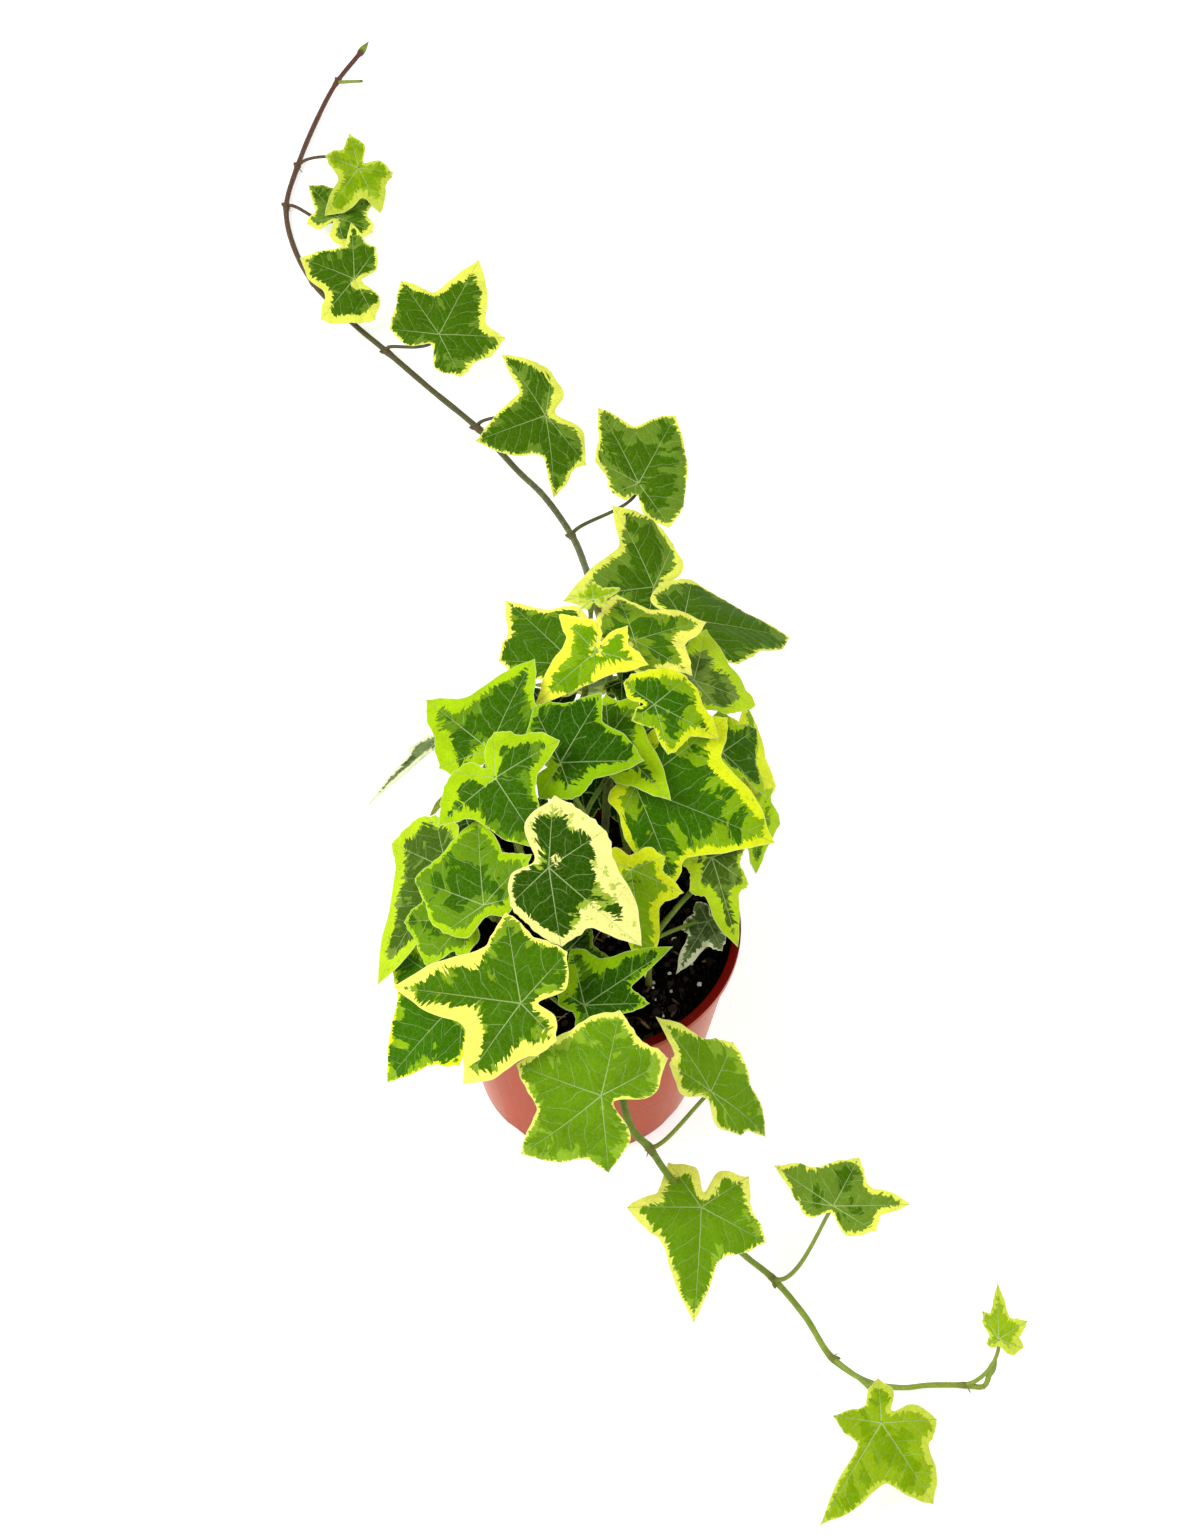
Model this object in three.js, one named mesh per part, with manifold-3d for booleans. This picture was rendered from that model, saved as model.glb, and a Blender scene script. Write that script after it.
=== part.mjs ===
// A potted variegated ivy: a thin plastic nursery pot filled with potting mix, a mound of leafy
// shoots rooted in it, and two long runners, one lying out behind the pot and one in front.
// Millimetres, +Z up. The origin is the middle of the pot's base, +Y points away from the viewer.

import * as THREE from "three";
import { mergeVertices } from "three/addons/utils/BufferGeometryUtils.js";
import Module from "manifold-3d";

const wasm = await Module();
wasm.setup();

// ---------------------------------------------------------------- driving dimensions

const POT_HEIGHT = 100;
const RIM_RADIUS = 60;
const BASE_RADIUS = 44;
const WALL = 1.6;
const LIP_WIDTH = 3.4;
const LIP_DEPTH = 4;
const LIP_CHAMFER = 0.8;
const FLOOR = 3;
const DRAIN_RADIUS = 4;
const DRAIN_CIRCLE = 27;
const DRAIN_COUNT = 4;
const DRAIN_SIDES = 12;
const DRAIN_TURN = 50;
const GROOVE_WIDTH = 9;
const GROOVE_HEIGHT = 1.4;
const POT_SIDES = 48;
const OVERCUT = 1;
const WELD = 0.02;

const SOIL_TOP = 92;
const SOIL_RELIEF = 1.2;
const SOIL_WAVE_X = 0.13;
const SOIL_WAVE_Y = 0.11;
const SOIL_SWELL = 0.05;
const SOIL_RINGS = 4;
const SOIL_SIDES = 48;
const GAP = 0.3;

const HOLE_SIDES = 8;
const HOLE_CLEARANCE = 0.5;
const STRAIGHT = 0.8;
const STEM_SIDES = 6;
const STEM_STEPS = 2;
const PETIOLE_SIDES = 4;
const PETIOLE_STEPS = 4;
const PETIOLE_RADIUS = 0.9;
const PETIOLE_TAPER = 0.9;
const PETIOLE_LEAN = 0.35;
const PETIOLE_LIFT = 0.12;
const PETIOLE_HOOK = 0.25;
const STUB_TAPER = 0.7;

const BLADE = 0.8;
const DROOP = 0.1;
const RIPPLE = 0.05;
const RIPPLES = 3;
const FOLD = 0.1;
const BULGE = 0.15;
const BASAL_BULGE = 0.3;
const OPEN_BAY = 40;
const BASAL_BAY = 0.12;
const DEEPEST_BAY = 0.45;
const BAY_SPREAD = 250;
const MID_RING = 0.5;

// ---------------------------------------------------------------- the shoots

// A leaf: the route point its petiole leaves from, its junction, its turn in degrees (heading of
// the middle lobe, rise, roll) and its five lobes, from the left basal lobe round to the right one.
// A lobe is an angle from the middle lobe and a reach. Two more numbers, where it has them, are the
// angle and the reach of the bay after it.
function leaf(from, at, turn, ...lobes) {
  return { from, at, turn, lobes };
}

const SHOOTS = [
  {
    name: "trail_back",
    radius: [2, 1.5],
    bow: 0.7,
    route: [
      [6, 14, 77], [6, 15, 100], [8, 34, 128], [10, 66, 142], [8, 108, 134], [4, 160, 100],
      [-1, 215, 60], [-7, 250, 40], [-21, 291, 22], [-33, 314, 13], [-53, 348, 6], [-77, 377, 3],
      [-99, 402, 3], [-117, 422, 3], [-138, 450, 3], [-150, 478, 3], [-155, 505, 3],
      [-151, 536, 3], [-143, 572, 3], [-134, 600, 4], [-123, 620, 6],
    ],
    leaves: [
      leaf(5, [40, 145, 108], [15, -25, 10],
        [100, 22, 80, 27], [62, 32, 26, 38], [0, 54, -31, 34], [-60, 31], [-105, 25]),
      leaf(5, [28, 171, 98], [-155, 20, 20],
        [125, 17], [60, 24], [0, 42, -66, 22], [-82, 40, -110, 35], [-132, 26]),
      leaf(7, [23, 271, 52], [115, 20, -5],
        [95, 14, 62, 15], [42, 22, 18, 27], [0, 43, -22, 29], [-50, 41, -130, 23], [-168, 25]),
      leaf(10, [-20, 330, 34], [-145, 10, 35],
        [108, 30, 96, 28], [73, 39, 62, 19], [0, 39, -63, 16], [-78, 35, -102, 26], [-123, 22]),
      leaf(12, [-72, 389, 28], [65, 20, -15],
        [110, 24, 80, 25], [58, 33, 31, 21], [-2, 45, -54, 23], [-67, 32, -107, 22], [-130, 24]),
      leaf(14, [-115, 429, 26], [168, 22, 15],
        [137, 23, 107, 23], [74, 28, 54, 17], [0, 28, -56, 17], [-68, 31, -87, 21], [-103, 21]),
      leaf(16, [-128, 491, 9], [40, 0, -5],
        [160, 16], [84, 28], [0, 24, -26, 15], [-67, 21], [-115, 21]),
      leaf(17, [-117, 511, 24], [-125, -18, 24],
        [120, 18, 94, 16], [60, 26, 45, 15], [0, 30, -24, 11], [-74, 18, -108, 12], [-132, 19]),
      leaf(3, [14, 80, 149], [-30, -10, 0], [118, 9], [60, 11], [0, 12], [-60, 11], [-118, 9]),
    ],
    stubs: [[19, [-120, 595, 9]]],
  },
  {
    name: "trail_front",
    radius: [1.9, 1.2],
    bow: 0.7,
    route: [
      [8, -32, 77], [8, -33, 98], [9, -48, 112], [12, -70, 108], [17, -84, 90], [24, -86, 78],
      [31, -87, 60], [44, -91, 38], [61, -99, 18], [73, -104, 7], [85, -118, 3], [95, -136, 3],
      [109, -146, 3], [121, -148, 3], [131, -147, 3], [145, -147, 3], [152, -148, 4],
      [154, -145, 9],
    ],
    leaves: [
      leaf(3, [6, -87, 118], [170, 20, 50],
        [117, 31, 100, 25], [61, 38, 31, 23], [0, 33, -45, 27], [-80, 33, -103, 25], [-130, 28]),
      leaf(5, [47, -70, 92], [66, 0, -40],
        [98, 21, 84, 21], [69, 34, 37, 20], [0, 24, -44, 21], [-83, 33, -94, 22], [-105, 21]),
      leaf(7, [44, -96, 50], [-93, -20, 9],
        [126, 22, 91, 19], [65, 28, 22, 20], [0, 43, -45, 20], [-86, 29, -105, 17], [-141, 21]),
      leaf(9, [95, -90, 40], [56, 30, -17],
        [110, 15, 97, 18], [85, 27, 54, 16], [0, 21, -32, 15], [-60, 30, -72, 18], [-92, 19]),
      leaf(11, [110, -172, 24], [-123, -11, 11],
        [126, 21, 98, 19], [65, 35, 34, 21], [0, 44, -14, 11], [-65, 18, -100, 8], [-146, 17]),
      leaf(15, [156, -139, 26], [91, 28, 15],
        [110, 5], [30, 12, 14, 10], [0, 21, -30, 9], [-59, 13, -84, 8], [-111, 10]),
    ],
    stubs: [],
  },
  {
    name: "stem_front_left",
    radius: [1.6, 1.1],
    route: [[-14, -24, 77], [-15, -25, 96], [-20, -36, 112], [-27, -46, 122], [-30, -52, 124]],
    leaves: [
      leaf(3, [-23, -64, 144], [168, -5, 28],
        [143, 19, 98, 20], [62, 36, 29, 21], [0, 49, -46, 24], [-72, 34, -94, 24], [-125, 25]),
      leaf(4, [-45, -39, 111], [-156, -45, 10],
        [104, 15], [46, 27, 20, 31], [0, 55, -34, 31], [-65, 37, -82, 26], [-113, 22]),
      leaf(1, [-8, -22, 112], [-70, -10, 0], [118, 15], [60, 20], [0, 25], [-60, 20], [-118, 12]),
      leaf(2, [0, -56, 130], [34, 9, -20],
        [115, 12], [69, 22, 35, 18], [0, 40, -12, 18], [-32, 24, -50, 13], [-109, 12]),
    ],
    stubs: [],
  },
  {
    name: "stem_left",
    radius: [1.7, 1.1],
    route: [[-28, -6, 77], [-29, -6, 98], [-34, -8, 116], [-42, -8, 126], [-50, -4, 126]],
    leaves: [
      leaf(2, [-37, -26, 151], [97, 18, 30],
        [111, 19, 76, 26], [59, 33, 34, 28], [0, 34], [-57, 26, -68, 20], [-92, 15]),
      leaf(2, [-59, 0, 106], [-175, -50, 0], [118, 18], [60, 28], [0, 32], [-60, 20], [-118, 14]),
      leaf(3, [-43, -23, 138], [162, -28, 30],
        [85, 16], [42, 26, 16, 27], [0, 32], [-36, 27], [-65, 16]),
      leaf(4, [-52, 2, 134], [-134, -36, -19],
        [93, 24], [42, 33], [0, 53, -58, 26], [-76, 33, -96, 29], [-120, 24]),
    ],
    stubs: [],
  },
  {
    name: "stem_left_top",
    radius: [1.7, 1.1],
    route: [[-20, 12, 77], [-21, 12, 104], [-27, 20, 132], [-36, 32, 146], [-45, 46, 148]],
    leaves: [
      leaf(3, [-36, 40, 158], [69, 18, 20],
        [119, 22, 90, 25], [67, 40, 46, 26], [0, 42, -24, 25], [-65, 23], [-125, 16]),
      leaf(2, [-33, 15, 174], [-57, -14, -28],
        [149, 17, 117, 18], [85, 28, 54, 15], [0, 33, -66, 17], [-86, 28, -104, 22], [-134, 17]),
      leaf(4, [-55, 61, 138], [-149, -20, -28], [124, 5], [40, 8], [0, 40], [-40, 18], [-124, 6]),
      leaf(1, [-44, 30, 118], [170, -40, 0], [118, 16], [60, 20], [0, 24], [-60, 18], [-118, 14]),
    ],
    stubs: [],
  },
  {
    name: "stem_top",
    radius: [1.7, 0.9],
    route: [[-4, 30, 77], [-4, 31, 104], [-3, 50, 134], [0, 74, 152], [2, 92, 160], [2, 101, 166]],
    leaves: [
      leaf(3, [-4, 92, 144], [123, -10, 8],
        [115, 20], [42, 32, 17, 36], [0, 56, -13, 37], [-36, 33], [-98, 16]),
      leaf(3, [4, 78, 170], [-141, -14, 12],
        [180, 16], [123, 21, 80, 11], [0, 31, -66, 12], [-88, 21, -108, 15], [-135, 12]),
      leaf(5, [3, 102, 172], [99, 30, 4], [120, 6], [71, 9], [0, 8], [-75, 12], [-115, 6]),
    ],
    stubs: [],
  },
  {
    name: "stem_top_right",
    radius: [1.7, 0.9],
    route: [[14, 28, 77], [16, 29, 104], [25, 44, 132], [34, 62, 144], [40, 78, 142]],
    leaves: [
      leaf(3, [19, 90, 162], [35, -16, 3],
        [125, 17, 94, 20], [67, 29, 37, 23], [0, 37, -33, 19], [-70, 27, -88, 19], [-114, 25]),
      leaf(3, [26, 51, 172], [-7, -33, -24],
        [172, 15, 128, 13], [60, 18, 23, 21], [0, 31, -14, 19], [-50, 20, -68, 9], [-123, 12]),
      leaf(2, [27, 68, 136], [95, 0, 0], [118, 12], [55, 14], [0, 28], [-60, 26], [-118, 16]),
      leaf(4, [42, 79, 151], [80, -16, -16],
        [140, 15], [53, 20], [0, 38, -28, 23], [-93, 26, -116, 22], [-138, 20]),
      leaf(1, [9, 63, 123], [-80, -30, 0], [118, 20], [60, 26], [0, 26], [-60, 20], [-118, 16]),
    ],
    stubs: [],
  },
  {
    name: "stem_centre",
    radius: [1.7, 1],
    route: [[-3, -6, 77], [-4, -5, 104], [-4, 4, 130], [0, 18, 146], [8, 34, 148]],
    leaves: [
      leaf(3, [-9, 25, 170], [-1, 6, -19],
        [114, 25, 84, 23], [59, 31, 46, 22], [0, 31, -29, 14], [-73, 15, -101, 14], [-121, 16]),
      leaf(4, [9, 43, 162], [-48, -8, -10],
        [143, 18], [104, 19, 61, 13], [0, 35, -17, 22], [-35, 19], [-97, 9]),
      leaf(1, [6, 3, 113], [-20, -10, 0], [118, 10], [60, 12], [0, 14], [-60, 12], [-118, 10]),
      leaf(2, [-13, -21, 168], [-40, -14, -34],
        [127, 26, 99, 24], [73, 25, 46, 24], [0, 44, -14, 26], [-40, 29, -70, 22], [-96, 20]),
    ],
    stubs: [],
  },
  {
    name: "stem_right",
    radius: [1.7, 1.1],
    route: [[24, 6, 77], [25, 8, 98], [28, 20, 116], [38, 38, 122], [50, 50, 118], [59, 54, 108]],
    leaves: [
      leaf(2, [19, 27, 152], [-12, -19, -17],
        [96, 21, 82, 30], [57, 49, 40, 36], [0, 58, -36, 32], [-50, 40, -72, 27], [-100, 14]),
      leaf(3, [53, 57, 134], [-16, -45, 1], [115, 18], [60, 27], [0, 29], [-28, 14], [-93, 9]),
      leaf(4, [62, 62, 116], [29, -48, -31], [108, 22], [76, 29], [0, 31], [-43, 23], [-105, 17]),
      leaf(5, [67, 47, 106], [-85, -51, 48], [130, 14], [66, 20], [0, 24], [-58, 17], [-110, 12]),
    ],
    stubs: [],
  },
  {
    name: "stem_right_front",
    radius: [1.8, 1.1],
    route: [[25, -24, 77], [24, -22, 98], [26, -14, 110], [34, -6, 118], [41, 2, 120]],
    leaves: [
      leaf(4, [48, 10, 130], [-68, -38, 4],
        [91, 14], [37, 18, 22, 17], [0, 36, -28, 15], [-51, 16], [-101, 13]),
      leaf(2, [47, -3, 106], [-122, -12, 6], [138, 10], [55, 13], [0, 24], [-45, 11], [-121, 9]),
      leaf(2, [17, -5, 144], [-79, -34, 5], [100, 14], [57, 22], [0, 41], [-44, 20], [-120, 12]),
    ],
    stubs: [],
  },
  {
    name: "stem_back_left",
    radius: [1.7, 1],
    route: [[-24, 30, 77], [-26, 32, 100], [-32, 44, 120], [-38, 58, 128], [-34, 72, 122]],
    leaves: [
      leaf(3, [-37, 64, 128], [145, -62, 0], [120, 20], [60, 30], [0, 38], [-60, 30], [-120, 20]),
      leaf(4, [-28, 92, 116], [116, -62, 0], [120, 20], [60, 30], [0, 38], [-58, 30], [-118, 20]),
      leaf(2, [-48, 52, 102], [160, -66, 0], [118, 16], [60, 22], [0, 32], [-60, 22], [-118, 16]),
      leaf(4, [-48, 82, 88], [144, -68, 0], [115, 16], [60, 24], [0, 36], [-60, 24], [-118, 16]),
      leaf(2, [-14, 74, 136], [60, 0, 0], [118, 14], [60, 16], [0, 22], [-60, 14], [-118, 12]),
      leaf(1, [-20, 44, 111], [-50, -8, 0], [118, 10], [60, 12], [0, 12], [-60, 12], [-118, 10]),
    ],
    stubs: [],
  },
  {
    name: "stem_back",
    radius: [1.7, 1],
    route: [[-8, 44, 77], [-8, 46, 98], [-10, 58, 114], [-10, 72, 118], [-6, 86, 112]],
    leaves: [
      leaf(3, [0, 102, 122], [90, -60, 0], [120, 18], [60, 26], [0, 40], [-60, 24], [-120, 18]),
      leaf(4, [-10, 90, 101], [96, -68, 0], [120, 20], [60, 30], [0, 42], [-60, 30], [-120, 20]),
      leaf(4, [18, 84, 94], [62, -70, 0], [115, 18], [60, 28], [0, 40], [-60, 28], [-115, 18]),
      leaf(1, [-2, 60, 105], [-80, -6, 0], [118, 12], [60, 14], [0, 15], [-60, 14], [-118, 12]),
    ],
    stubs: [],
  },
  {
    name: "stem_back_right",
    radius: [1.7, 1],
    route: [[30, 26, 77], [33, 28, 98], [44, 46, 106], [52, 60, 110], [50, 72, 106]],
    leaves: [
      leaf(3, [38, 84, 120], [55, -60, 0], [120, 18], [60, 24], [0, 34], [-60, 24], [-120, 18]),
      leaf(3, [63, 74, 98], [28, -66, 0], [120, 16], [60, 22], [0, 32], [-60, 22], [-120, 16]),
      leaf(4, [46, 80, 98], [50, -68, 0], [118, 18], [60, 28], [0, 38], [-60, 28], [-118, 18]),
    ],
    stubs: [],
  },
];

// ---------------------------------------------------------------- finishes

const FINISHES = {
  pot: { color: 0xb7624a, roughness: 0.45, metalness: 0 },
  soil: { color: 0x17110d, roughness: 0.95, metalness: 0 },
  leaf: { color: 0x5f9a1e, roughness: 0.5, metalness: 0 },
};

function meshOf(name, geometry, finish) {
  const mesh = new THREE.Mesh(geometry, new THREE.MeshStandardMaterial(FINISHES[finish]));
  mesh.name = name;
  return mesh;
}

// ---------------------------------------------------------------- solids

function solidFrom(geometry) {
  const bare = new THREE.BufferGeometry();
  bare.setAttribute("position", geometry.getAttribute("position"));
  bare.setIndex(geometry.index);
  const merged = mergeVertices(bare, 1e-4);
  return new wasm.Manifold(
    new wasm.Mesh({
      numProp: 3,
      vertProperties: merged.attributes.position.array,
      triVerts: new Uint32Array(merged.index.array),
    }),
  );
}

function geometryFrom(solid) {
  const made = solid.getMesh();
  const geometry = new THREE.BufferGeometry();
  geometry.setAttribute("position", new THREE.BufferAttribute(made.vertProperties, made.numProp));
  geometry.setIndex(new THREE.BufferAttribute(made.triVerts, 1));
  geometry.computeVertexNormals();
  return geometry;
}

function solidOfFaces(points, faces) {
  const geometry = new THREE.BufferGeometry();
  const flat = points.flatMap((p) => [p.x, p.y, p.z]);
  geometry.setAttribute("position", new THREE.Float32BufferAttribute(flat, 3));
  geometry.setIndex(faces.flat());
  return solidFrom(geometry);
}

// One solid of many, without the sliver faces that the joins leave.
function joined(solids) {
  return solids.reduce((whole, solid) => whole.add(solid)).simplify(WELD);
}

// ---------------------------------------------------------------- pot

function potProfile() {
  const under = POT_HEIGHT - LIP_DEPTH;
  const neck = RIM_RADIUS - LIP_WIDTH + WALL;
  return [
    [0, 0],
    [BASE_RADIUS, 0],
    [neck, under],
    [RIM_RADIUS, under + LIP_CHAMFER],
    [RIM_RADIUS, POT_HEIGHT - LIP_CHAMFER],
    [RIM_RADIUS - LIP_CHAMFER, POT_HEIGHT],
    [RIM_RADIUS - LIP_WIDTH, POT_HEIGHT],
    [neck - WALL, under],
    [BASE_RADIUS - WALL, FLOOR],
    [0, FLOOR],
  ].map(([r, z]) => new THREE.Vector2(r, z));
}

// Closed at the axis, with Y of the lathe turned up to Z.
function turned(profile, sides) {
  const geometry = new THREE.LatheGeometry(profile, sides);
  geometry.rotateX(Math.PI / 2);
  return solidFrom(geometry);
}

function upright(radius, bottom, top, sides) {
  const geometry = new THREE.CylinderGeometry(radius, radius, top - bottom, sides);
  geometry.rotateX(Math.PI / 2);
  geometry.translate(0, 0, (top + bottom) / 2);
  return solidFrom(geometry);
}

// Under each drain hole a shallow groove runs out to the edge of the base.
function drain(angle) {
  const hole = upright(DRAIN_RADIUS, -OVERCUT, FLOOR + OVERCUT, DRAIN_SIDES);
  const length = BASE_RADIUS + OVERCUT - DRAIN_CIRCLE;
  const box = new THREE.BoxGeometry(length, GROOVE_WIDTH, 2 * GROOVE_HEIGHT);
  box.translate(DRAIN_CIRCLE + length / 2, 0, 0);
  return hole.translate([DRAIN_CIRCLE, 0, 0]).add(solidFrom(box)).rotate([0, 0, angle]);
}

function pot() {
  let solid = turned(potProfile(), POT_SIDES);
  for (let i = 0; i < DRAIN_COUNT; i++) {
    solid = solid.subtract(drain((360 / DRAIN_COUNT) * i + DRAIN_TURN));
  }
  return meshOf("pot", geometryFrom(solid), "pot");
}

// ---------------------------------------------------------------- soil

function innerRadius(z) {
  const under = POT_HEIGHT - LIP_DEPTH;
  const top = RIM_RADIUS - LIP_WIDTH;
  const share = (z - FLOOR) / (under - FLOOR);
  return BASE_RADIUS - WALL + share * (top - BASE_RADIUS + WALL) - GAP;
}

function soilHeight(x, y) {
  const waves = Math.sin(x * SOIL_WAVE_X + 1) * Math.cos(y * SOIL_WAVE_Y);
  return SOIL_TOP + SOIL_RELIEF * waves * Math.cos(x * SOIL_SWELL);
}

// A tapered plug whose top is a web of rings that rises and falls a little.
function soilPlug() {
  const bottom = FLOOR + GAP;
  const points = [new THREE.Vector3(0, 0, bottom), new THREE.Vector3(0, 0, soilHeight(0, 0))];
  const rings = [[innerRadius(bottom), () => bottom]];
  for (let k = SOIL_RINGS; k > 0; k--) {
    rings.push([(innerRadius(SOIL_TOP - SOIL_RELIEF) * k) / SOIL_RINGS, soilHeight]);
  }
  for (const [radius, height] of rings) {
    for (let i = 0; i < SOIL_SIDES; i++) {
      const a = (2 * Math.PI * i) / SOIL_SIDES;
      const [x, y] = [radius * Math.cos(a), radius * Math.sin(a)];
      points.push(new THREE.Vector3(x, y, height(x, y)));
    }
  }
  const faces = [];
  const at = (ring, i) => 2 + ring * SOIL_SIDES + (i % SOIL_SIDES);
  for (let i = 0; i < SOIL_SIDES; i++) {
    faces.push([0, at(0, i + 1), at(0, i)]);
    for (let k = 0; k < SOIL_RINGS; k++) {
      faces.push([at(k, i), at(k, i + 1), at(k + 1, i + 1)]);
      faces.push([at(k, i), at(k + 1, i + 1), at(k + 1, i)]);
    }
    faces.push([at(SOIL_RINGS, i), at(SOIL_RINGS, i + 1), 1]);
  }
  return solidOfFaces(points, faces);
}

// A plain round hole along the straight foot of a stem.
function stemHole(shoot) {
  const [root, first] = shoot.route.map(vector);
  const below = root.clone().lerp(first, -GAP / root.distanceTo(first));
  const radius = shoot.radius[0] + HOLE_CLEARANCE;
  return tube(new THREE.LineCurve3(below, first), [radius, radius], HOLE_SIDES, 1);
}

function soil() {
  let solid = soilPlug();
  for (const shoot of SHOOTS) {
    solid = solid.subtract(stemHole(shoot));
  }
  return meshOf("soil", geometryFrom(solid), "soil");
}

// ---------------------------------------------------------------- stems and petioles

// A closed tube along a curve, tapering from one radius to the other.
function tube(curve, [start, end], sides, steps) {
  const points = [];
  const faces = [];
  const frame = curve.computeFrenetFrames(steps, false);
  for (let k = 0; k <= steps; k++) {
    const centre = curve.getPointAt(k / steps);
    const radius = start + ((end - start) * k) / steps;
    for (let i = 0; i < sides; i++) {
      const a = (2 * Math.PI * i) / sides;
      const p = centre.clone();
      p.addScaledVector(frame.normals[k], radius * Math.cos(a));
      p.addScaledVector(frame.binormals[k], radius * Math.sin(a));
      points.push(p);
    }
  }
  const at = (k, i) => k * sides + (i % sides);
  for (let k = 0; k < steps; k++) {
    for (let i = 0; i < sides; i++) {
      faces.push([at(k, i), at(k, i + 1), at(k + 1, i + 1)]);
      faces.push([at(k, i), at(k + 1, i + 1), at(k + 1, i)]);
    }
  }
  for (let i = 2; i < sides; i++) {
    faces.push([at(0, 0), at(0, i), at(0, i - 1)]);
    faces.push([at(steps, 0), at(steps, i - 1), at(steps, i)]);
  }
  return solidOfFaces(points, faces);
}

function vector(p) {
  return new THREE.Vector3(...p);
}

// Straight from its root to just above the soil, then through the rest of its route.
function stem(shoot) {
  const [root, first, ...rest] = shoot.route.map(vector);
  const foot = root.clone().lerp(first, STRAIGHT);
  const curve = new THREE.CatmullRomCurve3([root, foot, first, ...rest]);
  const steps = STEM_STEPS * shoot.route.length;
  return tube(curve, shoot.radius, STEM_SIDES, steps);
}

// Leaves the stem rising a little, or bowed along the stem of a runner, then meets the blade from
// behind and below.
function petiole(shoot, leafSpec, axes) {
  const start = vector(shoot.route[leafSpec.from]);
  const end = vector(leafSpec.at).addScaledVector(axes.normal, -GAP);
  const span = start.distanceTo(end);
  const first = start.clone().lerp(end, PETIOLE_LEAN);
  first.z += PETIOLE_LIFT * span;
  if (shoot.bow) {
    const onward = vector(shoot.route[leafSpec.from + 1]).sub(start).setLength(PETIOLE_LEAN * span);
    first.lerp(start.clone().add(onward), shoot.bow);
  }
  const last = end.clone().addScaledVector(axes.ahead, -PETIOLE_HOOK * span);
  last.addScaledVector(axes.normal, -PETIOLE_HOOK * span);
  const curve = new THREE.CubicBezierCurve3(start, first, last, end);
  const radii = [PETIOLE_RADIUS, PETIOLE_TAPER * PETIOLE_RADIUS];
  return tube(curve, radii, PETIOLE_SIDES, PETIOLE_STEPS);
}

function stub(shoot, [from, tip]) {
  const curve = new THREE.LineCurve3(vector(shoot.route[from]), vector(tip));
  return tube(curve, [PETIOLE_RADIUS, STUB_TAPER * PETIOLE_RADIUS], PETIOLE_SIDES, 1);
}

// ---------------------------------------------------------------- leaves

function radians(degrees) {
  return (degrees * Math.PI) / 180;
}

// The blade's own axes: ahead along the middle lobe, left across it, and the upper face's normal.
function leafAxes([heading, rise, roll]) {
  const [h, e, r] = [heading, rise, roll].map(radians);
  const ahead = new THREE.Vector3(Math.cos(h) * Math.cos(e), Math.sin(h) * Math.cos(e), Math.sin(e));
  const up = new THREE.Vector3(0, 0, 1).addScaledVector(ahead, -ahead.z).normalize();
  const side = up.clone().cross(ahead);
  const normal = up.multiplyScalar(Math.cos(r)).addScaledVector(side, Math.sin(r));
  return { ahead, normal, left: normal.clone().cross(ahead) };
}

function polar(degrees, reach) {
  return new THREE.Vector2(reach * Math.cos(radians(degrees)), reach * Math.sin(radians(degrees)));
}

// A bay whose place isn't given is deeper the further apart its lobes are; the bay at the petiole
// is deepest.
function bay([angleA, reachA], [angleB, reachB, ...given], length) {
  if (given.length > 0) {
    return polar(...given);
  }
  const gap = angleB - angleA;
  const basal = angleA > 0 && angleB > 180;
  const share = Math.max(DEEPEST_BAY, 1 - gap / BAY_SPREAD);
  const depth = basal ? BASAL_BAY * length : Math.min(reachA, reachB) * share;
  return polar((angleA + angleB) / 2, depth);
}

// A point on the margin between a lobe's tip and a bay, bulging outwards at the lobe's shoulder,
// and less where the bay cuts in close beside the lobe.
function shoulder(tip, hollow, fullness) {
  const run = hollow.clone().sub(tip);
  const out = new THREE.Vector2(run.y, -run.x).multiplyScalar(Math.sign(tip.cross(hollow)));
  const bulge = fullness * Math.min(1, tip.angleTo(hollow) / radians(OPEN_BAY));
  return tip.clone().addScaledVector(run, 0.5).addScaledVector(out, bulge);
}

// Tips, shoulders and bays once round the blade, anticlockwise, starting at the right basal lobe.
function leafOutline(lobes) {
  const order = [...lobes].sort((a, b) => a[0] - b[0]);
  const length = lobes[2][1];
  const outline = [];
  order.forEach((lobe, i) => {
    const next = order[i + 1] ?? [order[0][0] + 360, order[0][1]];
    const [tip, end] = [polar(...lobe), polar(...next)];
    const hollow = bay(lobe, next, length);
    const fullness = order[i + 1] ? BULGE : BASAL_BULGE;
    outline.push(tip, shoulder(tip, hollow, fullness), hollow, shoulder(end, hollow, fullness));
  });
  return outline;
}

// How far the blade's middle surface lies from its own plane at a point.
function sag(p, length, phase) {
  const reach = p.length();
  const droop = (-DROOP * reach * reach) / length;
  const ripple = ((RIPPLE * reach * reach) / length) * Math.sin(RIPPLES * p.angle() + phase);
  return droop + ripple + FOLD * Math.abs(p.y) * (1 - reach / (2 * length));
}

function blade(leafSpec, axes) {
  const outline = leafOutline(leafSpec.lobes);
  const length = leafSpec.lobes[2][1];
  const phase = leafSpec.at[0] + leafSpec.at[1];
  const corners = outline.filter((_, i) => i % 2 === 0);
  const ring = corners.map((p) => p.clone().multiplyScalar(MID_RING));
  const flat = [new THREE.Vector2(), ...ring, ...outline];
  const origin = vector(leafSpec.at);
  const place = (p, side) =>
    origin
      .clone()
      .addScaledVector(axes.ahead, p.x)
      .addScaledVector(axes.left, p.y)
      .addScaledVector(axes.normal, sag(p, length, phase) + (side * BLADE) / 2);
  const points = [...flat.map((p) => place(p, 1)), ...flat.map((p) => place(p, -1))];
  return solidOfFaces(points, bladeFaces(ring.length, outline.length, flat.length));
}

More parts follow.
